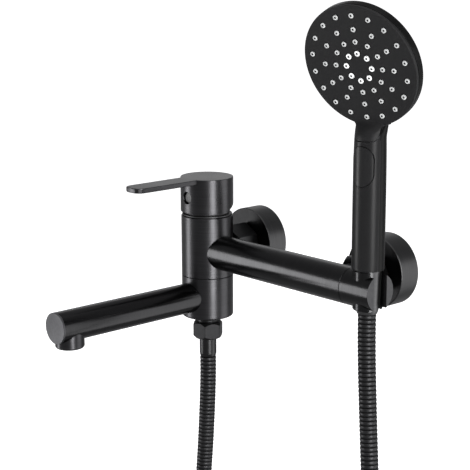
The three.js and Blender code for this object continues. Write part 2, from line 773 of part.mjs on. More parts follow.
function handset() {
  const group = new THREE.Group();
  group.position.set(HOLDER_X, -AXIS_OUT, 0);
  group.rotation.z = rad(HANDSET_TURN);
  const nipple = turned([
    [5.6, 20.2], [9.9, 20.2], [9.9, 30.7], [8, 30.7], [8, 37.5], [5.6, 37.5],
  ], COARSE);
  const head = new THREE.Group();
  head.position.set(0, -HEAD_FORWARD, HEAD_HEIGHT);
  head.rotation.x = rad(90 + HEAD_TILT);
  head.add(
    shown('handset_face', 'plastic', handsetFace()),
    shown('nozzle_mat', 'silicone', nozzleMat()),
    shown('spray_plate', 'white', sprayPlate()),
  );
  group.add(
    shown('handset_shell', 'plastic', handsetShell()),
    shown('handset_nipple', 'brass', solid(nipple)),
    shown('handset_washer', 'rubber', solid(tube(9.8, 5.6, 18.3, 19.9, COARSE))),
    shown('hose_cone_nut', 'metal', coneNut()),
    shown('mode_button', 'plastic', modeButton()),
    shown('button_spring', 'steel', buttonSpring()),
    head,
  );
  return group;
}

// Hose: two hanging legs that meet a tied coil of one and a half turns below the faucet.
const COIL_SPAN = (COIL_PITCH * COIL_TURNS) / 2; // half the coil's width between centre lines
const LEFT_LEG = [
  [-75, 0, -95.1], [-75.1, 0, -110], [-75.9, 0, -130], [-77.3, 0, -152], [-79.2, 0, -176],
  [-81.6, 0, -201], [-83.4, 0.5, -226], [-83, 2.3, -250], [-79.6, 5.3, -272],
  [-74.2, 8.4, -292], [-69.4, 10.3, -308], [-66.4, 11.05, -320], [-65.2, 11.25, -330],
];
const RIGHT_LEG = [
  [110, 0, -18.4], [110.1, 0, -36], [110.9, 0, -60], [112.3, 0, -86], [114, 0, -114],
  [115.8, 0, -142], [117.2, -0.2, -170], [117.6, -0.9, -198], [116.5, -2.4, -226],
  [113.6, -4.9, -254], [109.2, -7.6, -277], [104.8, -9.8, -297], [101.8, -10.9, -312],
  [100.4, -11.2, -323], [100.05, -11.25, -330],
];

function legCurve(points, side) {
  const foot = new THREE.Vector3(
    COIL_CENTRE.x + side * COIL_RADIUS,
    -AXIS_OUT + side * COIL_SPAN,
    COIL_CENTRE.z + LEG_STUB,
  );
  const places = points.map(([x, front, z]) => new THREE.Vector3(x, -AXIS_OUT - front, z));
  return new THREE.CatmullRomCurve3([...places, foot], false, 'centripetal');
}

function coilSolid() {
  const room = 0.8; // the solid is a little fatter than the hose
  const width = COIL_SPAN + HOSE_RADIUS + room;
  const inner = COIL_RADIUS - HOSE_RADIUS - room;
  const outer = COIL_RADIUS + HOSE_RADIUS + room;
  const soft = 3;
  const ring = turned([
    [inner, -width + soft], [inner + soft, -width], [outer - soft, -width], [outer, -width + soft],
    [outer, width - soft], [outer - soft, width], [inner + soft, width], [inner, width - soft],
  ], 40).rotateX(Math.PI / 2);
  const stubs = [-1, 1].map((side) => rod(HOSE_RADIUS, 3, LEG_STUB - 2 * GAP, 12)
    .translate(side * COIL_RADIUS, side * COIL_SPAN, 0));
  return joined(solid(ring), ...stubs.map(solid));
}

function coilTie() {
  const width = COIL_SPAN + HOSE_RADIUS;
  const thick = 1.6;
  const half = 7;
  const room = 1.4;
  const low = -COIL_RADIUS - HOSE_RADIUS - room;
  const high = -COIL_RADIUS + HOSE_RADIUS + room;
  const outside = block(
    [-half, half],
    [-width - room - thick, width + room + thick],
    [low - thick, high + thick],
  );
  const inside = block([-half - 1, half + 1], [-width - room, width + room], [low, high]);
  return solid(outside).subtract(solid(inside));
}

function hose() {
  const group = new THREE.Group();
  const coil = new THREE.Group();
  coil.position.set(COIL_CENTRE.x, -AXIS_OUT, COIL_CENTRE.z);
  coil.add(shown('hose_coil', 'hose', coilSolid()), shown('hose_tie', 'rubber', coilTie()));
  const legs = [['hose_left_leg', LEFT_LEG, -1], ['hose_right_leg', RIGHT_LEG, 1]];
  for (const [name, points, side] of legs) {
    group.add(shown(name, 'hose', solid(alongCurve(legCurve(points, side), HOSE_RADIUS, 12, 16))));
  }
  group.add(coil);
  return group;
}

function holder() {
  const group = new THREE.Group();
  group.position.set(HOLDER_X, -AXIS_OUT, 0);
  group.add(
    shown('holder_body', 'metal', holderBody()),
    shown('holder_liner', 'plastic', holderLiner()),
  );
  return group;
}

const faucet = new THREE.Group();
faucet.add(inlet('left'), inlet('right'), valve(), bar(), holder(), handset(), hose());

export default faucet;
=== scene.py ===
# %% [markdown]
# # A wall mounted bath faucet with a hand shower
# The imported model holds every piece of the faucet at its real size. It loads first, as a fixed
# frame. Each step after it makes one visible piece in finer detail, or gives a finish to a piece
# whose shape is right already. Lengths in the lists below are millimetres, because that is how
# such parts are drawn, and MM turns them into Blender's metres.

# %% The frame
import math

import bpy
import numpy as np
from mathutils import Matrix, Vector


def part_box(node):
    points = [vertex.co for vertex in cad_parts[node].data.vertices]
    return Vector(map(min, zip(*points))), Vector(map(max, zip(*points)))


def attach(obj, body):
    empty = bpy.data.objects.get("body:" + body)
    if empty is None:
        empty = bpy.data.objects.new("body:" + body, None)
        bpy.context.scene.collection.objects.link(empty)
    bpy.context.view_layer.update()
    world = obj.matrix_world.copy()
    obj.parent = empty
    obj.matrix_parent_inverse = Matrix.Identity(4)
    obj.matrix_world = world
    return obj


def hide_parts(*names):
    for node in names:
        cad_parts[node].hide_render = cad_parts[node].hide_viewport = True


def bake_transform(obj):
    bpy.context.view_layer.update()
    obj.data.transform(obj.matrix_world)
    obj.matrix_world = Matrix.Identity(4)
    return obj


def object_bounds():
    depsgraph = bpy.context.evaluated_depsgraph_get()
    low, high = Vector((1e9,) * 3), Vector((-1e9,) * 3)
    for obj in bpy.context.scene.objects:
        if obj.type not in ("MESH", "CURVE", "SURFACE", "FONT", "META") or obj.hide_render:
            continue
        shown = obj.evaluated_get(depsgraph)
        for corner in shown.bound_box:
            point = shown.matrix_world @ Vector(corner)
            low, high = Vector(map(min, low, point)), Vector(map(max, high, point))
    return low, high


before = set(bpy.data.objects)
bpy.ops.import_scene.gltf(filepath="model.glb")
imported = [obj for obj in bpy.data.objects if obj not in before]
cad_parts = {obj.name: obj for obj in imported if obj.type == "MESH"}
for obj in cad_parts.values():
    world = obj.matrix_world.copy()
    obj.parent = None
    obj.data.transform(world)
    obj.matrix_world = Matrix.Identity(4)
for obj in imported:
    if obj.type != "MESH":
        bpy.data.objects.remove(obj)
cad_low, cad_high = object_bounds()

MM = 0.001


# %% [markdown]
# ## Places
# The pieces stand on a few axes. They are read from the frame, so that a new piece sits exactly
# where the old one was: the upright axis of the valve, the bar's axis, and the axis of the hand
# shower's holder.

# %% Axes read from the frame
def middle(node):
    low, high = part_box(node)
    return (low + high) / 2


def low_mm(node):
    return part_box(node)[0] / MM


def high_mm(node):
    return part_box(node)[1] / MM


valve_x, valve_y, _ = middle("dome_ring")
holder_x, holder_y, _ = middle("hose_cone_nut")
inlet_x = {side: middle(f"rosette_{side}").x for side in ("left", "right")}
spout_z = middle("spout_tube").z


def at(x, y, z):
    """A place, in millimetres."""
    return Matrix.Translation((x * MM, y * MM, z * MM))


def around(radius, count, start=0):
    """Places on a circle, from the angle start in degrees."""
    for i in range(count):
        angle = math.radians(start) + 2 * math.pi * i / count
        yield at(radius * math.cos(angle), radius * math.sin(angle), 0)


ALONG_X = Matrix.Rotation(math.radians(90), 4, "Y")
FROM_WALL = Matrix.Rotation(math.radians(90), 4, "X")
TO_WALL = Matrix.Rotation(math.radians(-90), 4, "X")
VALVE = Matrix.Translation((valve_x, valve_y, 0))
SPOUT = Matrix.Translation((valve_x, valve_y, spout_z))
SPOUT_LINE = SPOUT @ FROM_WALL
INLET_LINE = {side: Matrix.Translation((x, 0, 0)) @ FROM_WALL for side, x in inlet_x.items()}
BAR = Matrix.Translation((0, valve_y, 0))
HOLDER = Matrix.Translation((holder_x, holder_y, 0))
print("valve axis", round(valve_x, 4), round(valve_y, 4), "holder axis", round(holder_x, 4))


# %% [markdown]
# ## Camera
# The camera stands to the right of the faucet and a little above it, far away with a long lens,
# as for a catalogue picture. It is made before anything else, because the hose has to know what
# the camera sees: the length that isn't seen hangs just below the picture.

# %% The camera
AZIMUTH = math.radians(48.09)
ELEVATION = math.radians(12.51)
ROLL = math.radians(-0.149)
DISTANCE = 1.124
LENS = 102.56
LOOK_AT = Vector((-0.0457, -0.0600, 0.0162))


def sideways(azimuth):
    return Vector((math.cos(azimuth), math.sin(azimuth), 0))


def direction(azimuth, elevation):
    """From the faucet outwards. Azimuth 0 is straight out from the wall."""
    flat = math.cos(elevation)
    return Vector((math.sin(azimuth) * flat, -math.cos(azimuth) * flat, math.sin(elevation)))


def aimed(right, forward, place):
    up = right.cross(forward)
    turn = Matrix((right, up, -forward)).transposed()
    return Matrix.Translation(place) @ turn.to_4x4()


def make_camera():
    forward = -direction(AZIMUTH, ELEVATION)
    side = sideways(AZIMUTH)
    right = math.cos(ROLL) * side + math.sin(ROLL) * side.cross(forward)
    bpy.ops.object.camera_add()
    camera = bpy.context.object
    camera.name = "catalogue_camera"
    camera.matrix_world = aimed(right, forward, LOOK_AT - DISTANCE * forward)
    camera.data.lens = LENS
    camera.data.sensor_width = 36
    camera.data.clip_start = 0.05
    camera.data.clip_end = 200
    bpy.context.scene.camera = camera
    return camera


camera = make_camera()
print("camera at", [round(v, 3) for v in camera.location])


# %% [markdown]
# ## Route of the hose
# A shower hose is a free cord of fixed length. Its route is a list of points for the two
# legs, and a loop for the coil below them, one and a half turns with a tie. A centripetal
# Catmull-Rom curve runs through all of them without overshooting. The same function
# smooths the sections of the handle later on.

# %% Hose route
LEFT_LEG = [
    (-0.0750, 0, -0.0951), (-0.0751, 0, -0.1100), (-0.0759, 0, -0.1300), (-0.0773, 0, -0.1520),
    (-0.0792, 0, -0.1760), (-0.0816, 0, -0.2010), (-0.0834, 0.0005, -0.2260),
    (-0.0830, 0.0023, -0.2500), (-0.0796, 0.0053, -0.2720), (-0.0742, 0.0084, -0.2920),
    (-0.0694, 0.0103, -0.3080), (-0.0664, 0.01105, -0.3200), (-0.0652, 0.01125, -0.3300),
]
RIGHT_LEG = [
    (0.1100, 0, -0.0184), (0.1101, 0, -0.0360), (0.1109, 0, -0.0600), (0.1123, 0, -0.0860),
    (0.1140, 0, -0.1140), (0.1158, 0, -0.1420), (0.1172, -0.0002, -0.1700),
    (0.1176, -0.0009, -0.1980), (0.1165, -0.0024, -0.2260), (0.1136, -0.0049, -0.2540),
    (0.1092, -0.0076, -0.2770), (0.1048, -0.0098, -0.2970), (0.1018, -0.0109, -0.3120),
    (0.1004, -0.0112, -0.3230), (0.10005, -0.01125, -0.3300),
]
HOSE_RADIUS = 0.007
COIL_RADIUS = 0.0825
COIL_CENTRE = Vector((0.0175, valve_y, -0.388))
COIL_PITCH = 0.015
COIL_TURNS = 1.5
POINTS_PER_TURN = 24
LEG_FOOT = 0.052


def between(p, q, start, end, t):
    return ((end - t) * p + (t - start) * q) / (end - start)


def smooth_route(points, steps):
    """A centripetal Catmull-Rom curve through points of any dimension."""
    points = np.array(points, float)
    padded = np.vstack([2 * points[0] - points[1], points, 2 * points[-1] - points[-2]])
    gaps = np.sqrt(np.linalg.norm(np.diff(padded, axis=0), axis=1))
    knots = np.concatenate([[0], np.cumsum(gaps)])
    out = []
    for i in range(1, len(padded) - 2):
        k, p = knots[i - 1:i + 3], padded[i - 1:i + 3]
        for t in np.linspace(k[1], k[2], steps, endpoint=False):
            a = [between(p[j], p[j + 1], k[j], k[j + 1], t) for j in range(3)]
            b = [between(a[j], a[j + 1], k[j], k[j + 2], t) for j in range(2)]
            out.append(between(b[0], b[1], k[1], k[2], t))
    out.append(padded[-2])
    return np.array(out)


def coil_points():
    half = COIL_PITCH * COIL_TURNS / 2
    count = round(POINTS_PER_TURN * COIL_TURNS)
    points = []
    for i in range(count + 1):
        share = i / count
        angle = math.pi + 2 * math.pi * COIL_TURNS * share
        points.append((
            COIL_CENTRE.x + COIL_RADIUS * math.cos(angle),
            COIL_CENTRE.y - half + 2 * half * share,
            COIL_CENTRE.z + COIL_RADIUS * math.sin(angle),
        ))
    return points


def hose_points():
    legs = [[(x, valve_y - out, z) for x, out, z in leg] for leg in (LEFT_LEG, RIGHT_LEG)]
    coil = coil_points()
    feet = []
    for end, share in ((0, 1), (0, 0.5), (-1, 0.5), (-1, 1)):
        x, y, z = coil[end]
        feet.append((x, y, z + LEG_FOOT * share))
    return [*legs[0], *feet[:2], *coil, *feet[2:], *reversed(legs[1])]


hose_line = smooth_route(hose_points(), 8)


# %% [markdown]
# ## Tools for turned pieces
# Nearly every piece of a faucet is turned on a lathe, so the main tool is a lathe too. One vertex
# is extruded from point to point along the outline of the cut, and spun once round the axis.
# A corner may carry a third number, the radius that the turner leaves on it, and becomes an arc.

# %% Selection, corners and the lathe
def start_fresh():
    if bpy.context.object and bpy.context.object.mode != "OBJECT":
        bpy.ops.object.mode_set(mode="OBJECT")
    bpy.ops.object.select_all(action="DESELECT")


def pick(piece):
    start_fresh()
    bpy.context.view_layer.objects.active = piece
    piece.select_set(True)


def corner_arc(before, corner, after, radius, steps=4):
    toward, away = (before - corner).normalized(), (after - corner).normalized()
    half = toward.angle(away) / 2
    run = radius / math.tan(half)
    centre = corner + (toward + away).normalized() * (radius / math.sin(half))
    first, last = corner + toward * run - centre, corner + away * run - centre
    sweep = math.pi - 2 * half
    arc = []
    for i in range(steps + 1):
        share = i / steps
        mix = math.sin((1 - share) * sweep) * first + math.sin(share * sweep) * last
        arc.append(centre + mix / math.sin(sweep))
    return arc


def rounded(outline, closed):
    """The outline in metres. A point (a, b) is a sharp corner and (a, b, radius) is an arc."""
    corners = [Vector(p[:2]) * MM for p in outline]
    points = []
    for i, p in enumerate(outline):
        if len(p) == 3 and (closed or 0 < i < len(outline) - 1):
            after = corners[(i + 1) % len(corners)]
            points += corner_arc(corners[i - 1], corners[i], after, p[2] * MM)
        else:
            points.append(corners[i])
    return points


def drawn_line(points):
    """One vertex, extruded from point to point. It leaves Blender in edit mode."""
    start_fresh()
    bpy.ops.mesh.primitive_plane_add(size=MM, location=points[0], enter_editmode=True)
    bpy.ops.mesh.select_mode(type="VERT")
    bpy.ops.mesh.select_all(action="SELECT")
    bpy.ops.mesh.merge(type="CENTER")
    for here, there in zip(points, points[1:]):
        move = {"value": tuple(Vector(there) - Vector(here))}
        bpy.ops.mesh.extrude_region_move(TRANSFORM_OT_translate=move)
    return bpy.context.object


SMOOTH_BELOW = 22
HOSE_SMOOTH_BELOW = 60


def smooth(below=SMOOTH_BELOW):
    bpy.ops.object.shade_smooth_by_angle(angle=math.radians(below))


def settle(piece, name, place, below=SMOOTH_BELOW):
    """Puts a piece in place, with its place in its mesh, and names it."""
    pick(piece)
    piece.name = piece.data.name = name
    piece.matrix_world = place @ piece.matrix_world
    bpy.ops.object.transform_apply(location=True, rotation=True, scale=True)
    smooth(below)
    return piece


MERGE = 5e-6


def closed_solid():
    """Ends the edit of a closed mesh, with its faces turned outwards."""
    bpy.ops.mesh.select_all(action="SELECT")
    bpy.ops.mesh.normals_make_consistent(inside=False)
    bpy.ops.object.mode_set(mode="OBJECT")
    return bpy.context.object


def turned(name, outline, place=Matrix.Identity(4), steps=96):
    """A solid of revolution about z. An outline that doesn't start on the axis closes on itself."""
    closed = outline[0][0] > 0
    points = rounded(outline, closed)
    if closed:
        points.append(points[0])
    drawn_line([(p.x, 0, p.y) for p in points])
    bpy.ops.mesh.select_all(action="SELECT")
    bpy.ops.mesh.spin(steps=steps, angle=2 * math.pi, center=(0, 0, 0), axis=(0, 0, 1))
    bpy.ops.mesh.select_all(action="SELECT")
    bpy.ops.mesh.remove_doubles(threshold=MERGE)
    return settle(closed_solid(), name, place)


def rod(radius, low, high, place=Matrix.Identity(4), steps=96):
    return turned("tool", [(0, low), (radius, low), (radius, high), (0, high)], place, steps)


# %% [markdown]
# ## Tools for milled pieces
# A mill leaves flat outlines. An outline is drawn in the same way, filled, and extruded to its
# depth. Boolean modifiers then join castings and drill them, and each one is applied at once, so
# that a piece ends as one plain mesh. The tool piece is used up. At the end a Weighted Normal
# modifier lets the large faces set the shading, so that a flat looks flat beside a round edge.

# %% Prisms and booleans
def prism(outline, depth, place=Matrix.Identity(4)):
    """A closed outline in x and y, extruded along z from 0 to depth."""
    points = rounded(outline, True)
    drawn_line([(p.x, p.y, 0) for p in points])
    bpy.ops.mesh.select_all(action="SELECT")
    bpy.ops.mesh.edge_face_add()
    bpy.ops.mesh.extrude_region_move(TRANSFORM_OT_translate={"value": (0, 0, depth * MM)})
    return settle(closed_solid(), "tool", place)


def rectangle(left, right, low, high, *corner):
    """Its four corners, all sharp or all with one radius."""
    return [(left, low, *corner), (right, low, *corner), (right, high, *corner),
            (left, high, *corner)]


def applied(piece, kind, **settings):
    """Gives a piece a modifier with these settings, and applies it."""
    pick(piece)
    step = piece.modifiers.new("step", kind)
    for setting, value in settings.items():
        setattr(step, setting, value)
    bpy.ops.object.modifier_apply(modifier=step.name)


def combine(piece, tool, operation):
    applied(piece, "BOOLEAN", operation=operation, solver="MANIFOLD", object=tool)
    bpy.data.objects.remove(tool)
    smooth()
    return piece


def cut(piece, *tools):
    for tool in tools:
        combine(piece, tool, "DIFFERENCE")
    return piece


def join(piece, *others):
    for other in others:
        combine(piece, other, "UNION")
    return piece


def soften(piece, width, segments=2, angle=40):
    """Breaks the sharp edges that booleans leave."""
    applied(piece, "BEVEL", width=width * MM, segments=segments, limit_method="ANGLE",
            angle_limit=math.radians(angle), use_clamp_overlap=True)
    smooth()
    return piece


def copied(piece, name, place):
    twin = piece.copy()
    twin.data = piece.data.copy()
    bpy.context.scene.collection.objects.link(twin)
    return settle(twin, name, place)


def keep(piece, node, body, finish):
    """Names a finished piece, gives it its finish, and says what it stands for and rides on."""
    applied(piece, "WEIGHTED_NORMAL", keep_sharp=True)
    piece.name = piece.data.name = f"fine_{node}"
    piece.data.materials.clear()
    piece.data.materials.append(finish)
    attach(piece, body)
    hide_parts(node)
    piece.data.calc_loop_triangles()
    print(piece.name, len(piece.data.loop_triangles), "triangles on", body)
    return piece


def paint(piece, finish, chosen):
    """Another finish, on the faces that chosen(centre in mm, normal) picks."""
    piece.data.materials.append(finish)
    for face in piece.data.polygons:
        if chosen(face.center / MM, face.normal):
            face.material_index = len(piece.data.materials) - 1


# %% [markdown]
# ## Finishes
# Every finish is built from one recipe: a Principled shader, a slow noise that varies the
# gloss a little as on any handled part, and a fine pattern for the grain. What differs is the
# scale, and on turned metal the direction, because a lathe leaves its marks round the axis.

# %% The recipe for a finish
NOISE_LOW, NOISE_HIGH = 0.3, 0.7
GLOSSIER, DULLER = 0.88, 1.12


def set_sockets(node, **sockets):
    """An underscore in a socket's name stands for a space."""
    for name, value in sockets.items():
        node.inputs[name.replace("_", " ")].default_value = value
    return node


def node_after(tree, kind, **sockets):
    return set_sockets(tree.nodes.new(kind), **sockets)


def wire(node, output, other, socket):
    node.id_data.links.new(node.outputs[output], other.inputs[socket])


def finish(name, colour, roughness, metallic=0.0, grain=(600, 600, 600), depth=0.00002, **extra):
    """A finish with a slow change in gloss and a fine grain, on the piece's own coordinates."""
    material = bpy.data.materials.new(name)
    material.use_nodes = True
    tree = material.node_tree
    shader = set_sockets(tree.nodes["Principled BSDF"], Metallic=metallic, **extra)
    place = tree.nodes.new("ShaderNodeTexCoord")
    slow = node_after(tree, "ShaderNodeTexNoise", Scale=38.0, Detail=3.0)
    wire(place, "Object", slow, "Vector")
    gloss = node_after(tree, "ShaderNodeMapRange", From_Min=NOISE_LOW, From_Max=NOISE_HIGH,
                       To_Min=roughness * GLOSSIER, To_Max=roughness * DULLER)
    wire(slow, "Fac", gloss, "Value")
    wire(gloss, "Result", shader, "Roughness")
    turn = node_after(tree, "ShaderNodeMapping", Scale=grain)
    wire(place, "Object", turn, "Vector")
    fine = node_after(tree, "ShaderNodeTexNoise", Scale=1.0, Detail=2.0)
    wire(turn, "Vector", fine, "Vector")
    tint = node_after(tree, "ShaderNodeValToRGB")
    for stop, level, share in zip(tint.color_ramp.elements, (NOISE_LOW, NOISE_HIGH), (0.9, 1.1)):
        stop.position = level
        stop.color = [*(c * share for c in colour), 1]
    wire(fine, "Fac", tint, "Fac")
    wire(tint, "Color", shader, "Base Color")
    bump = node_after(tree, "ShaderNodeBump", Distance=depth, Strength=0.6)
    wire(fine, "Fac", bump, "Height")
    wire(bump, "Normal", shader, "Normal")
    return material


# %% [markdown]
# The brass castings are coated black with a satin sheen. The turning marks below the coat run
# round each piece's own axis, so there is one finish for each direction. The end
# faces were faced off flat, scatter more light, and read lighter.

# %% Metals
MARKS = 1500
SLOW = 30
BLACK = (0.050, 0.0495, 0.052)
GLOSSY_BLACK = (0.034, 0.034, 0.035)
NUT_BLACK = (0.03, 0.03, 0.031)
satin_upright = finish("satin_black_upright", BLACK, 0.30, 1.0, (SLOW, SLOW, MARKS), 4e-6)
satin_bar = finish("satin_black_bar", GLOSSY_BLACK, 0.24, 1.0, (MARKS, SLOW, SLOW), 4e-6)
satin_spout = finish("satin_black_spout", GLOSSY_BLACK, 0.22, 1.0, (SLOW, MARKS, SLOW), 4e-6)
satin_nut = finish("satin_black_nut", NUT_BLACK, 0.36, 1.0, (400, 400, 400), 6e-6)
satin_flat = finish("satin_black_flat", (0.06, 0.06, 0.062), 0.42, 1.0, (400, 400, 400), 6e-6)
faced_end = finish("faced_end", (0.078, 0.078, 0.082), 0.5, 1.0, (500, 500, 500), 6e-6)
brass = finish("machined_brass", (0.62, 0.44, 0.19), 0.3, 1.0, (SLOW, SLOW, MARKS), 1e-5)
steel = finish("drawn_steel", (0.52, 0.53, 0.54), 0.28, 1.0, (MARKS, SLOW, SLOW), 8e-6)
print("metals made")

# %% [markdown]
# The plastics differ in their grain: the hand shower is a fine matt moulding, its handle a
# smoother one, the cartridge a plain white one. Silicone and rubber are soft and dull.

# %% Plastics, rubbers and ceramic
def moulded(name, colour, roughness, grain, depth, specular=0.5):
    return finish(name, colour, roughness, 0.0, (grain,) * 3, depth, Specular_IOR_Level=specular)


matt_black = moulded("matt_black_moulding", (0.010, 0.010, 0.0104), 0.45, 1500, 3e-5, 0.14)
satin_black = moulded("satin_black_moulding", (0.009, 0.009, 0.0094), 0.33, 900, 6e-6, 0.13)
gloss_black = moulded("gloss_black_moulding", (0.003, 0.003, 0.003), 0.25, 900, 4e-6, 0.08)
# A lighter black, used as a painted highlight on the ledge below the tongue.
ledge_highlight = moulded("ledge_painted_highlight", (0.06, 0.06, 0.062), 0.3, 900, 4e-6)
button_black = moulded("button_moulding", (0.010, 0.010, 0.0104), 0.3, 1500, 2e-5, 0.16)
white_plastic = moulded("white_moulding", (0.78, 0.78, 0.77), 0.4, 900, 1e-5)
silicone = moulded("grey_silicone", (0.37, 0.375, 0.375), 0.5, 1200, 1e-5)
pale_silicone = moulded("pale_silicone", (0.62, 0.63, 0.63), 0.5, 1200, 1e-5)
# The seals' dark rubber colour also serves as painted shade inside the nozzles' holes.
rubber = moulded("seal_rubber", (0.02, 0.02, 0.02), 0.62, 1500, 3e-5)
plug_rubber = moulded("plug_rubber", (0.014, 0.014, 0.016), 0.4, 1500, 2e-5)
ceramic = moulded("ground_ceramic", (0.84, 0.82, 0.78), 0.18, 2500, 4e-6)
liner_plastic = moulded("liner_moulding", (0.012, 0.012, 0.012), 0.5, 900, 1e-5)
print("plastics made")


# %% [markdown]
# ## Hose
# The hose is a plastic tube wound with a profiled black strip, so its skin is a row of narrow
# bands with a groove after each. A section is swept along the route: five rings to a band, four
# on its crest and one in the groove. The section is carried without twist from ring to ring. An
# attribute says where the grooves are, and the finish darkens them there as painted shade.

# %% Swept tube
BAND = 0.0035
HOSE_SIDES = 24
BAND_SHAPE = [(0.0, 0.0061, 1.0), (0.14, 0.0068, 0.2), (0.34, 0.007, 0.0), (0.66, 0.007, 0.0),
              (0.86, 0.0068, 0.2)]


def rings_along(line):
    """The distance, radius and groove of every ring."""
    total = np.linalg.norm(np.diff(line, axis=0), axis=1).sum()
    bands = int(total / BAND)
    step = total / bands
    rings = [(step * (i + share), r, g) for i in range(bands) for share, r, g in BAND_SHAPE]
    return np.array([*rings, (total, BAND_SHAPE[0][1], 1.0)])


def swept(name, line, rings, sides):
    along = np.concatenate([[0], np.cumsum(np.linalg.norm(np.diff(line, axis=0), axis=1))])
    centre = np.stack([np.interp(rings[:, 0], along, line[:, k]) for k in range(3)], axis=1)
    ahead = np.gradient(centre, axis=0)
    ahead /= np.linalg.norm(ahead, axis=1)[:, None]
    side = np.cross(ahead[0], (0, 1, 0))
    points = []
    turn = np.linspace(0, 2 * math.pi, sides, endpoint=False)
    for here, front, (_, radius, _) in zip(centre, ahead, rings):
        side = side - front * (side @ front)
        side /= np.linalg.norm(side)
        up = np.cross(front, side)
        points.append(here + radius * (np.outer(np.cos(turn), side) + np.outer(np.sin(turn), up)))
    faces = []
    for k in range(len(rings) - 1):
        for i in range(sides):
            j = (i + 1) % sides
            faces.append((k * sides + i, k * sides + j, (k + 1) * sides + j, (k + 1) * sides + i))
    last = (len(rings) - 1) * sides
    faces.append(tuple(reversed(range(sides))))
    faces.append(tuple(range(last, last + sides)))
    mesh = bpy.data.meshes.new(name)
    mesh.from_pydata(np.vstack(points).tolist(), [], faces)
    groove = mesh.attributes.new("groove", "FLOAT", "POINT")
    groove.data.foreach_set("value", np.repeat(rings[:, 2], sides).astype(np.float32))
    tube = bpy.data.objects.new(name, mesh)
    bpy.context.scene.collection.objects.link(tube)
    return settle(tube, name, Matrix.Identity(4), HOSE_SMOOTH_BELOW)


hose = swept("shower_hose", hose_line, rings_along(hose_line), HOSE_SIDES)
print("hose mesh", len(hose.data.vertices), "vertices")


# %% Finish of the hose
def hose_finish():
    material = finish("black_wound_strip", (0.045, 0.045, 0.0465), 0.46, 1.0, (700,) * 3, 8e-6)
    tree = material.node_tree
    shader = tree.nodes["Principled BSDF"]
    groove = tree.nodes.new("ShaderNodeAttribute")
    groove.attribute_name = "groove"
    crest = shader.inputs["Base Color"].links[0].from_socket
    # Painted shade: the groove rings get a darker colour, mixed in by the groove attribute.
    groove_shade = tree.nodes.new("ShaderNodeMix")
    groove_shade.data_type = "RGBA"
    groove_shade.inputs["B"].default_value = (0.014, 0.014, 0.014, 1)
    wire(groove, "Fac", groove_shade, "Factor")
    tree.links.new(crest, groove_shade.inputs["A"])
    wire(groove_shade, "Result", shader, "Base Color")
    return material


hose.data.materials.append(hose_finish())
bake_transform(hose)
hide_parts("hose_left_leg", "hose_coil", "hose_right_leg")


# %% [markdown]
# ## Tie
# A strap of hook-and-loop tape holds the two passes of the coil together at the bottom. It is a
# loop with round corners: a block whose long edges are bevelled, less a smaller one.

# %% Tie
def strap():
    wide, gap, thick, corner = 13, 0.35, 1.4, 7.0
    low_y, high_y = -80 - gap, -51 + gap
    middle_z = (COIL_CENTRE.z - COIL_RADIUS) / MM
    half_z = HOSE_RADIUS / MM + gap

    def loop(grow, width):
        outline = rectangle(low_y - grow, high_y + grow, middle_z - half_z - grow,
                            middle_z + half_z + grow, corner + grow)
        turn = Matrix(((0, 0, 1, COIL_CENTRE.x - width / 2 * MM), (1, 0, 0, 0), (0, 1, 0, 0),
                       (0, 0, 0, 1)))
        return prism(outline, width, turn)

    return soften(cut(loop(thick, wide), loop(0, wide + 4)), 0.35)


def tape_finish():
    material = finish("woven_tape", (0.02, 0.02, 0.021), 0.85, 0.0, (1400, 1400, 1400), 6e-5)
    tree = material.node_tree
    set_sockets(tree.nodes["Principled BSDF"], Sheen_Weight=0.3)
    wave = node_after(tree, "ShaderNodeTexWave", Scale=900.0, Distortion=0.6)
    place = next(n for n in tree.nodes if n.type == "TEX_COORD")
    wire(place, "Object", wave, "Vector")
    bump = next(n for n in tree.nodes if n.type == "BUMP")
    wire(wave, "Fac", bump, "Height")
    return material


keep(strap(), "hose_tie", "root", tape_finish())


# %% [markdown]
# ## Wall inlets
# A rosette is a deep drawn cup that hides the hole in the wall. Behind its hole sits the
# eccentric union, whose two threads are a few millimetres out of line, so that the faucet can be
# levelled. Its thread is a row of ridges at the pitch of a half inch pipe thread.

# %% Rosettes
rosette_radius = (high_mm("rosette_left").x - low_mm("rosette_left").x) / 2
rosette_depth = -low_mm("rosette_left").y
ROSETTE_WALL = 1.8
UNION_HOLE = 12.4


def rosette(name, side):
    inner = rosette_radius - ROSETTE_WALL
    return turned(name, [
        (UNION_HOLE, rosette_depth, 0.4), (UNION_HOLE, rosette_depth - ROSETTE_WALL),
        (inner, rosette_depth - ROSETTE_WALL, 1.5), (inner, 0), (rosette_radius, 0, 0.3),
        (rosette_radius, rosette_depth, 0.9),
    ], INLET_LINE[side], steps=128)


# The flat front of each rosette gets a much darker colour than its rim: painted shade, for the
# shade that the union nut and the bar throw on it.
rosette_face_shade = finish("rosette_face_painted_shade", (0.014, 0.014, 0.0144), 0.36, 1.0,
                      (500,) * 3, 5e-6)
rosette_finish = finish("satin_black_rosette", (0.055, 0.055, 0.056), 0.36, 1.0,
                        (SLOW, MARKS, SLOW), 4e-6)
for side in ("left", "right"):
    cup = keep(rosette("r", side), f"rosette_{side}", "root", rosette_finish)
    # Painted shade: the faces that look out from the wall get the dark colour.
    paint(cup, rosette_face_shade, lambda centre, normal: normal.y < -0.9)

# %% Eccentric unions
THREAD_PITCH = 1.814
THREAD_HEIGHT = 0.9


def thread(radius, low, high):
    """The outline of a threaded stub, from low to high."""
    count = int((high - low) / THREAD_PITCH)
    points = [(radius - THREAD_HEIGHT, low)]
    for i in range(count):
        start = low + i * THREAD_PITCH
        points += [(radius, start + 0.45 * THREAD_PITCH), (radius, start + 0.6 * THREAD_PITCH),
                   (radius - THREAD_HEIGHT, start + THREAD_PITCH)]
    return points


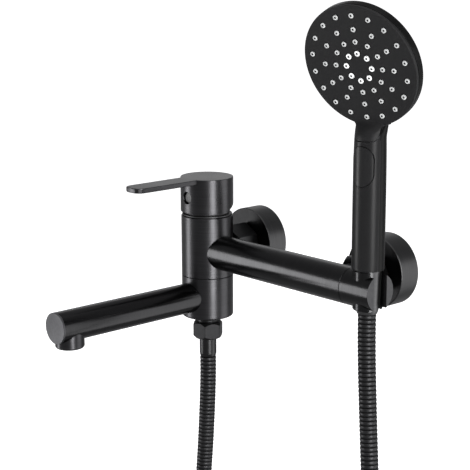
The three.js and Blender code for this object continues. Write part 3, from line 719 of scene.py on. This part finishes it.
def eccentric_union(side):
    drop = 6
    place = INLET_LINE[side]
    rear = place @ at(0, -drop, 0)
    centre = place @ at(0, -drop / 2, 0)
    union = turned("u", [(0, -13), *thread(10.4, -13, 4), (9.5, 6), (0, 6)], rear, 64)
    stage = turned("tool", [(0, 3.5), (16, 3.5, 1), (16, 11, 1), (0, 11)], centre, 64)
    front = turned("tool", [(0, 9), (11.1, 9), *thread(12, 11, 33), (11.1, 34), (0, 34)], place, 64)
    join(union, stage, front)
    return cut(union, rod(7, -14, 9.5, rear, 48), rod(8.5, 7, 37, place, 48))


for side in ("left", "right"):
    keep(eccentric_union(side), f"eccentric_union_{side}", "root", brass)


# %% [markdown]
# ## Nuts
# A hexagon nut starts as a cylinder with six sides. Its corners are turned off at both ends, which
# leaves the curved line on each flat that the eye knows a nut by. A boolean with a turned blank
# does the same. The two union nuts pull the faucet to the wall, the small one holds the hose.

# %% Hexagon nuts
def hexagon_nut(flats, low, high, turn, place, slope=(2.2, 1.3)):
    corner = flats / math.sqrt(3)
    back, down = slope
    start_fresh()
    bpy.ops.mesh.primitive_cylinder_add(
        vertices=6, radius=corner * MM, depth=(high - low) * MM,
        location=(0, 0, (high + low) / 2 * MM), rotation=(0, 0, math.radians(turn)))
    nut = settle(bpy.context.object, "nut", place)
    soften(nut, 0.5, 3, 50)
    blank = turned("tool", [(0, low), (corner - back, low, 1.2), (corner, low + down, 1.0),
                            (corner, high - down, 1.0), (corner - back, high, 1.2), (0, high)],
                   place)
    return combine(nut, blank, "INTERSECT")


UNION_FLATS = 30
UNION_TURN = {"left": 0, "right": 30}
for side in ("left", "right"):
    place = INLET_LINE[side]
    nut = hexagon_nut(UNION_FLATS, 20.6, 43, UNION_TURN[side], place)
    cut(nut, rod(12.6, 19, 39.7, place, 64), rod(11.4, 36, 44, place, 64))
    keep(nut, f"union_nut_{side}", "root", satin_nut)

# %% Hose nut, ferrule and nipple
NUT_DROP = 1.6
nut_low, nut_high = low_mm("hose_nut").z, high_mm("hose_nut").z - NUT_DROP
hose_nut = hexagon_nut(23.4, nut_low, nut_high, 39, VALVE, (2.6, 3.0))
cut(hose_nut, rod(10.1, nut_low + 2, nut_high + 1, VALVE, 64),
    rod(7.7, nut_low - 1, nut_low + 3, VALVE, 64))
keep(hose_nut, "hose_nut", "root", satin_nut)

ferrule_finish = finish("black_ferrule", (0.04, 0.04, 0.041), 0.33, 1.0, (SLOW, SLOW, MARKS), 5e-6)
ferrule = turned("f", [(4.6, -94.8), (6.6, -94.8, 0.5), (7.0, -93.6, 0.4), (7.3, -92.0, 0.3),
                       (7.3, -75.7), (9.6, -75.7), (9.6, -74.3), (4.6, -74.3)], VALVE)
keep(ferrule, "hose_ferrule", "root", ferrule_finish)

nipple_thread = [(9.7 - d, z) for z in np.arange(-62.2, -71.2, -1.4) for d in (0.0, 0.7)]
nipple = turned("n", [(4.6, -52), (6.2, -52), (6.2, -57.9), (9.9, -57.9, 0.3), (9.9, -59.4, 0.3),
                      (9.0, -60.1), (9.7, -60.9, 0.2), *nipple_thread, (9.2, -72), (4.6, -72)],
                VALVE)
keep(nipple, "outlet_nipple", "root", satin_nut)


# %% [markdown]
# ## Valve body
# The body is a thick turned casting. It is open on top, where the cartridge drops in, and steps
# down to a slim core that the spout's collar turns on. A stub for the union nut leaves it
# towards the wall. The outline is that of half its cross-section.

# %% Valve body
BODY_RADIUS = 22
body_top, body_seam = 30.5, -21.3


def inlet_stub(x):
    """The stub that a union nut pulls against. z of the outline runs to the wall."""
    end = -valve_y / MM - 36.2
    return turned("tool", [(0, 0), (10.8, 0), (10.8, end - 3), (12, end - 3, 0.3),
                           (12, end, 0.3), (0, end)],
                  Matrix.Translation((x, valve_y, 0)) @ TO_WALL, 64)


def valve_body():
    chamber, floor, core, bore = 17.7, 6, 14.6, 6.5
    body = turned("body", [
        (0, floor), (chamber, floor), (chamber, body_top), (BODY_RADIUS, body_top, 0.6),
        (BODY_RADIUS, body_seam, 0.35), (core, body_seam), (core, -25.8), (13, -25.8), (13, -28.2),
        (core, -28.2), (core, -49.8), (13, -49.8), (13, -52.2), (core, -52.2), (core, -55.7),
        (13.4, -55.7), (13.4, -57.4), (bore, -57.4), (bore, -12), (0, -12),
    ], VALVE, 128)
    join(body, inlet_stub(valve_x))
    to_wall = VALVE @ TO_WALL
    chamber_tool = turned("tool", [(0, floor), (chamber, floor), (chamber, body_top + 1),
                                   (0, body_top + 1)], VALVE, 128)
    cross = rod(4.5, -20, 20, SPOUT @ TO_WALL, 32)
    return cut(body, chamber_tool, rod(7.8, 20, 31, to_wall, 48), rod(5, 7, 21, to_wall, 32), cross)


keep(valve_body(), "valve_body", "root", satin_upright)

# %% Dome ring
SPHERE = 19.5
PIVOT = 36
dome_arc = [(math.sqrt(SPHERE ** 2 - (z - PIVOT) ** 2), z) for z in np.linspace(32.4, 44, 12)]
dome = turned("dome", [(15.5, 30.8), (21.2, 30.8, 0.4), (21.2, 32.0, 0.35), (20.2, 32.4),
                       *dome_arc, (15.5, 44)], VALVE)
keep(dome, "dome_ring", "root", satin_flat)


# %% [markdown]
# ## Lever
# The cap and its flat lever are one casting. The cap is turned, and the lever is an
# outline with two round corners, extruded to its thickness and broken at the edges. They are
# joined, then the plug's hole is drilled and the rear skirt is milled off at a slant, which gives
# the cap room to tip back when the lever lifts.

# %% Lever and cap
CAP_RADIUS = 22.4
CAP_BOTTOM, CAP_TOP = 34, 63.4
cap_reach = (valve_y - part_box("lever_cap")[0].y) / MM
LEVER_WIDTH, LEVER_THICKNESS = 20.5, 4.2
PLUG_LINE = VALVE @ at(0, 0, middle("indicator_plug").z / MM) @ FROM_WALL
LIFT = 25
WEDGE_SIZE = 40


def lever_cap():
    cap = turned("cap", [
        (0, 55), (20.2, 55, 1), (20.2, CAP_BOTTOM), (CAP_RADIUS, CAP_BOTTOM, 0.4),
        (CAP_RADIUS, CAP_TOP, 0.45), (0, CAP_TOP),
    ], VALVE, 128)
    half = LEVER_WIDTH / 2
    blade = prism([(half, -4), (-half, -4), (-half, -cap_reach, 7.5), (half, -cap_reach, 7.5)],
                  LEVER_THICKNESS, VALVE @ at(0, 0, CAP_TOP - LEVER_THICKNESS))
    join(cap, soften(blade, 0.8, 3), rod(8, 42, 56, VALVE, 48))
    socket = prism(rectangle(-4.3, 4.3, -4.3, 4.3), 12, VALVE @ at(0, 0, 41))
    tilt = Matrix.Rotation(math.radians(LIFT), 4, "X")
    wedge = prism(rectangle(-WEDGE_SIZE, WEDGE_SIZE, 0, WEDGE_SIZE), WEDGE_SIZE,
                  VALVE @ at(0, 2, CAP_BOTTOM) @ tilt @ at(0, 0, -WEDGE_SIZE))
    plug_hole = turned("tool", [(0, 17), (5, 17), (5, 21.6, 0.3), (5.8, 23.4), (0, 23.4)],
                       PLUG_LINE, 48)
    return cut(cap, socket, plug_hole, rod(2.8, 3, 18, PLUG_LINE, 32), wedge)


keep(lever_cap(), "lever_cap", "lever", satin_upright)
plug = turned("plug", [(0, 18.4), (4.7, 18.4, 0.4), (4.7, 20.3, 0.8), (0, 20.6)], PLUG_LINE, 48)
keep(plug, "indicator_plug", "lever", plug_rubber)


# %% [markdown]
# ## Spout
# The collar turns on the core of the body and carries the spout. The spout is a plain tube,
# closed by a disc that is faced off flat, and the aerator hangs under its end. The tube and the
# aerator's skirt are saddled: a rod of the other tube's diameter is cut out of each.

# %% Spout collar and tube
collar_bottom = low_mm("spout_collar").z
SPOUT_RADIUS, SPOUT_BORE = 12.7, 10.8
spout_reach = (valve_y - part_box("spout_end_cap")[0].y) / MM
aerator_reach = (valve_y - middle("aerator_housing").y) / MM


def spout_collar():
    seam = body_seam - 0.3
    collar = turned("collar", [
        (15, seam - 1.6), (19.9, seam - 1.6), (19.9, seam), (BODY_RADIUS, seam, 0.35),
        (BODY_RADIUS, collar_bottom, 1.6), (16.4, collar_bottom), (16.4, -55.6), (15, -55.6),
        (15, -46), (17.5, -46), (17.5, -32.6), (15, -32.6),
    ], VALVE, 128)
    join(collar, rod(10.5, 18.5, 34, SPOUT_LINE, 64))
    return cut(collar, rod(8.2, 16, 35, SPOUT_LINE, 64))


def spout_tube():
    end = spout_reach - 1.8
    pipe = turned("pipe", [(SPOUT_BORE, 12), (SPOUT_RADIUS, 12), (SPOUT_RADIUS, end, 0.15),
                           (SPOUT_BORE, end)], SPOUT_LINE, 128)
    under = SPOUT @ at(0, -aerator_reach, 0)
    return cut(pipe, rod(BODY_RADIUS + 0.03, -30, 30, SPOUT, 128), rod(10, -20, -5, under, 64))


keep(spout_collar(), "spout_collar", "spout", satin_upright)
keep(spout_tube(), "spout_tube", "spout", satin_spout)
end_cap = turned("end", [(0, spout_reach - 3.2), (SPOUT_BORE - 0.3, spout_reach - 3.2),
                         (SPOUT_BORE - 0.3, spout_reach - 1.7), (SPOUT_RADIUS, spout_reach - 1.7),
                         (SPOUT_RADIUS, spout_reach, 0.3), (0, spout_reach)],
                 SPOUT_LINE, 128)
keep(end_cap, "spout_end_cap", "spout", faced_end)


# %% [markdown]
# The aerator has a skirt with a stepped lip, and inside it a plastic cassette whose honeycomb
# breaks the water up. The holes are drilled in rings by a loop.

# %% Aerator
AERATOR = VALVE @ at(0, -aerator_reach, 0)


def aerator_housing():
    radius, bottom = 11.7, -57
    skirt = turned("skirt", [(8.6, bottom + 3), (8.6, bottom, 0.2), (radius - 0.9, bottom, 0.3),
                             (radius, bottom + 1.1, 0.5), (radius, -42), (8.6, -42)], AERATOR)
    cut(skirt, rod(SPOUT_RADIUS + 0.03, aerator_reach - 40, aerator_reach + 40, SPOUT_LINE, 128))
    sleeve = turned("tool", [(8.6, -54), (9.6, -54), (9.6, -48.5), (7, -48.5), (7, -50.4),
                             (8.6, -50.4)], AERATOR)
    return join(skirt, sleeve)


def aerator_insert():
    disc = turned("disc", [(0, -56.3), (7.2, -56.3, 0.3), (8.3, -55.4), (8.3, -51.6), (0, -51.6)],
                  AERATOR, 64)
    for radius, count in ((0, 1), (2.4, 6), (4.7, 12)):
        for place in around(radius, count):
            cut(disc, rod(0.95, -57, -51, AERATOR @ place, 6))
    return disc


keep(aerator_housing(), "aerator_housing", "spout", satin_upright)
keep(aerator_insert(), "aerator_insert", "spout", matt_black)


# %% [markdown]
# ## Bar and holder
# The bar is a tube brazed to the body, with the second inlet's stub on its wall side. At its end
# sits the holder, a short length of the same diameter with an upright socket through it. The slot
# in its end lets the hose through, and shows the cone nut that rests in the socket.

# %% Bar
BAR_RADIUS, BAR_BORE = 14.6, 12.4
bar_end = high_mm("bar_tube").x


def bar_tube():
    start = valve_x / MM + 14
    along = BAR @ ALONG_X
    bar = turned("bar", [(BAR_BORE, start), (BAR_RADIUS, start), (BAR_RADIUS, bar_end, 0.2),
                         (BAR_BORE, bar_end)], along, 128)
    join(bar, inlet_stub(inlet_x["right"]))
    right = Matrix.Translation((inlet_x["right"], valve_y, 0)) @ TO_WALL
    inside = rod(BAR_BORE, start - 1, bar_end + 1, along, 128)
    return cut(bar, inside, rod(7.8, 8, 31, right, 48),
               rod(BODY_RADIUS + 0.03, -20, 20, VALVE, 128))


keep(bar_tube(), "bar_tube", "root", satin_bar)

# %% Holder and its liner
holder_end = high_mm("holder_body").x - holder_x / MM
SLOT_WIDTH = 14.3
COLLAR_TOP = high_mm("holder_liner").z + 0.3


def slot_tool():
    """Open to the end of the holder, and through its whole height."""
    half = SLOT_WIDTH / 2
    return prism(rectangle(0, 40, -half, half), 60, HOLDER @ at(0, 0, -30))


def holder_body():
    start = bar_end + 0.5 - holder_x / MM
    along = HOLDER @ ALONG_X
    drum = turned("drum", [(0, start), (BAR_RADIUS, start, 0.2), (BAR_RADIUS, holder_end, 0.35),
                           (0, holder_end)], along, 128)
    collar = turned("tool", [
        (0, -15.0), (10.5, -15.0, 0.3), (11.3, -14.0), (11.3, 0), (11.7, 2),
        (11.7, COLLAR_TOP, 0.3), (0, COLLAR_TOP)], HOLDER)
    socket = turned("tool", [(0, -16.6), (9.9, -16.6), (10.7, COLLAR_TOP + 1),
                             (0, COLLAR_TOP + 1)], HOLDER)
    join(drum, collar)
    return cut(drum, socket, slot_tool(), rod(12.4, start - 1, -11.3, along, 96))


def holder_liner():
    low, high = -14.8, COLLAR_TOP - 0.3
    liner = turned("liner", [(8.95, low), (9.6, low, 0.1), (10.35, high, 0.1), (9.7, high)], HOLDER)
    return cut(liner, slot_tool())


holder = keep(holder_body(), "holder_body", "root", satin_bar)
paint(holder, satin_nut, lambda centre, normal: abs(centre.z) > BAR_RADIUS and normal.z < 0.9)
paint(holder, satin_flat, lambda centre, normal: normal.x > 0.9)
keep(holder_liner(), "holder_liner", "root", liner_plastic)


# %% [markdown]
# ## Hand shower
# The handle is a round bar that swells into a neck and carries a flat head. It starts as a circle
# of vertices. Each section of the handle is the face extruded upwards, then scaled and shifted
# to that section's front, back and width. The few key sections are smoothed by the same curve as
# the hose, so the neck flows into the head.

# %% Where the hand shower stands
HANDSET_TURN = 9.5
HEAD_TILT = 20
HEAD_FORWARD, HEAD_HEIGHT = 16.7, 168.8
HEAD_RADIUS = 47.4
HANDSET = HOLDER @ Matrix.Rotation(math.radians(HANDSET_TURN), 4, "Z")
HEAD = (HANDSET @ at(0, -HEAD_FORWARD, HEAD_HEIGHT)
        @ Matrix.Rotation(math.radians(90 + HEAD_TILT), 4, "X"))
HANDLE_KEYS = [
    (17.3, -12.5, 12.5, 12.5), (40, -12.5, 12.5, 12.5), (70, -12.5, 12.5, 12.5),
    (100, -12.3, 12.3, 12.3), (110, -12.1, 12.2, 12.1), (115, -11.8, 12.0, 12.0),
    (118, -11.2, 11.9, 12.1), (121, -9.6, 11.8, 12.6), (124, -6.6, 11.6, 14.2),
    (126.5, -3.9, 11.4, 16.4), (128.5, -2.5, 11.2, 18.4), (131, -2.3, 11.0, 20.4),
    (135, -3.3, 10.6, 22.4), (140, -4.9, 9.6, 23.0), (148, -7.6, 7.6, 20.0),
    (158, -10.5, 4.4, 13.0),
]


def sections(widest):
    keys = [(z, f, b, min(h, widest)) for z, f, b, h in smooth_route(HANDLE_KEYS, 3)]
    return [(16.3, -11.9, 11.9, 11.9), (16.6, -12.3, 12.3, 12.3), *keys]


def handle_blank(name, widest=30):
    """The handle, neck and tongue in one, no wider to each side than widest."""
    rows = sections(widest)
    z, front, back, half = rows[0]
    start_fresh()
    bpy.ops.mesh.primitive_circle_add(vertices=96, radius=half * MM, fill_type="NGON",
                                      location=(0, 0, z * MM), enter_editmode=True)
    bpy.ops.mesh.select_all(action="SELECT")
    for (z0, f0, b0, h0), (z1, f1, b1, h1) in zip(rows, rows[1:]):
        shift = {"value": (0, ((f1 + b1) - (f0 + b0)) / 2 * MM, (z1 - z0) * MM)}
        bpy.ops.mesh.extrude_region_move(TRANSFORM_OT_translate=shift)
        bpy.ops.transform.resize(value=(h1 / h0, (b1 - f1) / (b0 - f0), 1),
                                 center_override=(0, (f1 + b1) / 2 * MM, z1 * MM))
    return settle(closed_solid(), name, HANDSET)


# %% [markdown]
# The head splits at a seam. The front part is the face with a tongue that runs down over the neck
# and ends in a round edge on the handle. Both parts come from the same blank, and only the
# tongue flares at the neck: a prism seen from the side, whose rear edge is the seam, is kept on
# the one and cut from the other.

# %% Seam, head shell and handle
SEAM = [(-14, 114.4), (-9.5, 114.7), (-8.2, 115.2), (-7.0, 116.0), (-5.9, 117.2), (-5.0, 118.8),
        (-4.4, 120.6), (-3.9, 122.6), (-3.0, 124.4), (-1.2, 125.8), (2.0, 127.0), (-4.8, 144.0),
        (-9.2, 156)]
SIDE_VIEW = Matrix(((0, 0, 1, -0.03), (1, 0, 0, 0), (0, 1, 0, 0), (0, 0, 0, 1)))


def seam_tool(grow):
    outline = [(y + grow * 0.5, z - grow) for y, z in SEAM]
    return prism([*outline, (-40, 156), (-40, 114.4 - grow)], 60, HANDSET @ SIDE_VIEW)


def oval(width, height):
    return rectangle(-width / 2, width / 2, -height / 2, height / 2, width / 2 * 0.999)


BUTTON = HANDSET @ Matrix.Translation((0, 0, middle("mode_button").z))
BUTTON_WIDTH, BUTTON_HEIGHT = 17.8, 30


def button_tool(grow, near, far):
    """A prism of the button's outline, from near to far in front of the handle's axis."""
    place = BUTTON @ FROM_WALL @ at(0, 0, near)
    return prism(oval(BUTTON_WIDTH + 2 * grow, BUTTON_HEIGHT + 2 * grow), far - near, place)


def handset_shell():
    shell = handle_blank("shell", widest=12.5)
    back = turned("tool", [
        (0, -3), (HEAD_RADIUS, -3, 0.3), (HEAD_RADIUS, -9.5, 4.5), (43.4, -13.6, 12),
        (36, -15.2, 30), (24, -16.4), (12, -17), (0, -17.2)], HEAD, 160)
    join(shell, back)
    room = turned("tool", [(0, -3), (HEAD_RADIUS + 0.3, -3), (HEAD_RADIUS + 0.3, 30), (0, 30)],
                  HEAD, 160)
    cavity = turned("tool", [(0, -2), (45.2, -2), (45.2, -10), (42, -11.8), (0, -14.2)], HEAD, 96)
    waterway = rod(5, 37, 140, HANDSET @ at(0, 4, 0), 32)
    well = rod(2.9, 2.6, 8, BUTTON @ FROM_WALL, 32)
    return cut(shell, room, cavity, seam_tool(0.8), rod(11.6, 15, 31, HANDSET, 96),
               rod(8.3, 30, 38, HANDSET, 48), waterway, button_tool(0.42, 7.2, 14.5), well)


shell = handset_shell()
keep(shell, "handset_shell", "handset", gloss_black)
FRONT_EDGE = -4.1


def on_handle(centre):
    return HANDSET.inverted() @ (centre * MM) / MM


def on_front(centre, normal):
    """The front of the handle, below the tongue, is moulded less glossy than the back."""
    here = on_handle(centre)
    return here.y < FRONT_EDGE and here.z < SEAM[5][1]


def on_ledge(centre, normal):
    """The narrow ledge of the handle below the tongue. Its upward faces get a painted highlight."""
    here = on_handle(centre)
    return normal.z > 0.3 and here.y < SEAM[5][0] and SEAM[0][1] - 2 < here.z < SEAM[6][1]


paint(shell, satin_black, on_front)
# Painted highlight: a lighter colour on the upward faces of the ledge below the tongue.
paint(shell, ledge_highlight, on_ledge)


# %% [markdown]
# ## Face and nozzles
# The face carries four rings of nozzles. Each hole has a small countersink. The nozzles are soft
# silicone nubs on one sheet that comes through the holes from behind, so that
# scale can be rubbed off. The eight of the inner ring are wider, for the massage jet.

# %% Face
NOZZLE_RINGS = [(8, 10.7, 42, 2.35), (12, 19.75, 28, 2.1), (12, 29.2, 28, 2.1),
                (18, 39.7, 8, 2.1)]


def nozzle_rows():
    """Each width of hole, with all the places that have it."""
    rows = {}
    for count, radius, turn, hole in NOZZLE_RINGS:
        rows.setdefault(hole, []).extend(HEAD @ place for place in around(radius, count, turn))
    return sorted(rows.items())


def joined_copies(piece, places):
    """One mesh of a piece at every place. The piece itself is used up."""
    twins = [copied(piece, "twin", place) for place in places]
    bpy.data.objects.remove(piece)
    start_fresh()
    for twin in twins:
        twin.select_set(True)
    bpy.context.view_layer.objects.active = twins[0]
    bpy.ops.object.join()
    return twins[0]


def drills():
    tools = []
    for hole, places in nozzle_rows():
        bit = turned("bit", [(0, -4), (hole, -4), (hole, -0.45), (hole + 0.55, 0.3), (0, 0.3)],
                     steps=24)
        tools.append(joined_copies(bit, places))
    return tools


def handset_face():
    plate = turned("plate", [(0, -2.7), (HEAD_RADIUS - 0.2, -2.7), (HEAD_RADIUS - 0.2, 0, 0.8),
                             (0, 0)], HEAD, 160)
    tongue = combine(handle_blank("tongue"), seam_tool(0), "INTERSECT")
    join(plate, tongue)
    cut(plate, rod(30, -40, -2.75, HEAD, 64))
    return cut(plate, *drills())


keep(handset_face(), "handset_face", "handset", matt_black)

# %% Nozzles
def nub(hole):
    outer = hole - 0.15
    tip = outer - 0.15
    return turned("nub", [(0, -3.2), (outer, -3.2), (outer, 0.1), (tip, 0.75, 0.3),
                          (0.85, 0.75), (0.75, -2.4), (0, -2.4)], steps=20)


def nozzle_mat():
    sheet = turned("sheet", [(0, -4.6), (43, -4.6), (43, -3.05), (0, -3.05)], HEAD, 96)
    for hole, places in nozzle_rows():
        join(sheet, joined_copies(nub(hole), places))
    return sheet


mat = keep(nozzle_mat(), "nozzle_mat", "handset", silicone)
jet = HEAD.to_translation() / MM
outwards = HEAD.to_3x3() @ Vector((0, 0, 1))
paint(mat, pale_silicone, lambda centre, normal: (centre - jet).length < 15)
# Painted shade: every face deeper than the face plate, the insides of the nozzle holes among them,
# gets the dark rubber colour.
paint(mat, rubber, lambda centre, normal: (centre - jet).dot(outwards) < -0.2)


# %% [markdown]
# ## Button and cone nut
# The button follows the handle's round front and stands a little proud of it, so a thumb finds
# it wet. It is the same oval prism as its pocket, kept only inside a cylinder a
# little wider than the handle. The cone nut is a plain tapered turning.

# %% Button
def mode_button():
    pad = button_tool(0, 9, 14)
    combine(pad, rod(12.72, -20, 20, BUTTON, 128), "INTERSECT")
    return soften(pad, 0.35, 2, 45)


keep(mode_button(), "mode_button", "button", button_black)

# %% Cone nut
cone = turned("cone", [
    (7.2, -18), (7.6, -18, 0.2), (8.6, -15.4, 0.5), (9.4, 15.9), (9.4, 16.6), (11.2, 16.6, 0.2),
    (11.2, 29), (10.2, 29), (10.2, 18), (7.2, 18)], HANDSET)
cone_finish = finish("satin_black_cone", (0.1, 0.1, 0.102), 0.42, 1.0, (SLOW, SLOW, MARKS), 4e-6)
keep(cone, "hose_cone_nut", "handset", cone_finish)


# %% [markdown]
# ## Pieces inside
# What is inside keeps the shape that the frame gives it, and gets its finish here: brass for the
# water parts, white moulding for the cartridge, ground ceramic for its discs, rubber for the
# seals, and steel for the screw, the spring and the ring.

# %% Finishes for the pieces inside
INSIDE = {
    "brass": (brass, ["retaining_nut", "supply_tube", "supply_elbow", "bar_plug",
                      "handset_nipple"]),
    "white": (white_plastic, ["check_valve_left", "check_valve_right", "cartridge_housing",
                              "cartridge_turret", "diverter_sleeve", "slide_ring",
                              "spray_plate"]),
    "ceramic": (ceramic, ["ceramic_disc_fixed", "ceramic_disc_moving"]),
    "rubber": (rubber, ["filter_washer_left", "filter_washer_right", "cartridge_gasket",
                        "core_seal_upper", "core_seal_lower", "hose_washer", "handset_washer",
                        "aerator_washer"]),
    "steel": (steel, ["retaining_ring", "cartridge_stem", "lever_grub_screw", "button_spring"]),
}
for group, (material, names) in INSIDE.items():
    for name in names:
        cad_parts[name].material_slots[0].material = material
    print(group, len(names), "pieces")
left_over = [n for n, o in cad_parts.items()
             if not o.hide_render and not any(n in names for _, names in INSIDE.values())]
print("pieces without a finish:", left_over)


# %% [markdown]
# ## Floor and light
# The faucet hangs over a plain pale floor that glows, so it stays white. It isn't seen in the
# gloss of the metal, so the undersides stay dark, and it blocks no light. The left box draws the
# band along the bar and lights the spout's end. The right one draws the band along the spout, and
# the key box fills between them. The top box lights the floor, and the weak back box the flat tops.

# %% Floor
FLOOR_DROP = 0.02
FLOOR_SIZE = 120
start_fresh()
bpy.ops.mesh.primitive_plane_add(size=FLOOR_SIZE, location=(0, 0, cad_low.z - FLOOR_DROP))
floor = bpy.context.object
floor.name = "pale_floor"
floor_paint = bpy.data.materials.new("pale_floor_paint")
floor_paint.use_nodes = True
set_sockets(floor_paint.node_tree.nodes["Principled BSDF"], Base_Color=(0.95, 0.95, 0.95, 1),
            Roughness=1.0, Specular_IOR_Level=0.0, Emission_Color=(1, 1, 1, 1),
            Emission_Strength=0.7)
floor.data.materials.append(floor_paint)
floor.visible_glossy = False
floor.visible_shadow = False


# %% Lights
def softbox(name, azimuth, elevation, distance, width, height, power):
    """An area light that faces the faucet. Azimuth is measured from the camera, to its right."""
    turn = AZIMUTH + math.radians(azimuth)
    out = direction(turn, math.radians(elevation))
    bpy.ops.object.light_add(type="AREA")
    light = bpy.context.object
    light.name = name
    light.data.shape = "RECTANGLE"
    light.data.size = width
    light.data.size_y = height
    light.data.energy = power
    light.matrix_world = aimed(sideways(turn), -out, LOOK_AT + distance * out)
    light.visible_camera = False


# Name, azimuth and elevation in degrees, distance, width and height in metres, power in watts.
softbox("key_box", 26, 8, 2.2, 0.75, 2.4, 60)
softbox("left_box", -92, -3, 2.2, 0.7, 1.4, 24)
softbox("right_box", 82, -14, 2.4, 1.4, 3.0, 26)
softbox("top_box", 0, 80, 2.4, 2.2, 2.2, 20)
softbox("back_box", 180, 20, 2.4, 2.0, 0.8, 2.2)
bpy.ops.object.light_add(type="SUN", rotation=(0, 0, 0))
sun = bpy.context.object
sun.name = "floor_light"
sun.data.energy = 0.4
sun.data.angle = math.radians(60)
world = bpy.data.worlds.new("pale_room")
bpy.context.scene.world = world
world.use_nodes = True
set_sockets(world.node_tree.nodes["Background"], Color=(0.9, 0.9, 0.92, 1), Strength=0.35)
bpy.context.scene.view_settings.view_transform = "Standard"


# %% [markdown]
# ## Last step
# The script ends with nothing selected.

# %% Nothing selected
start_fresh()
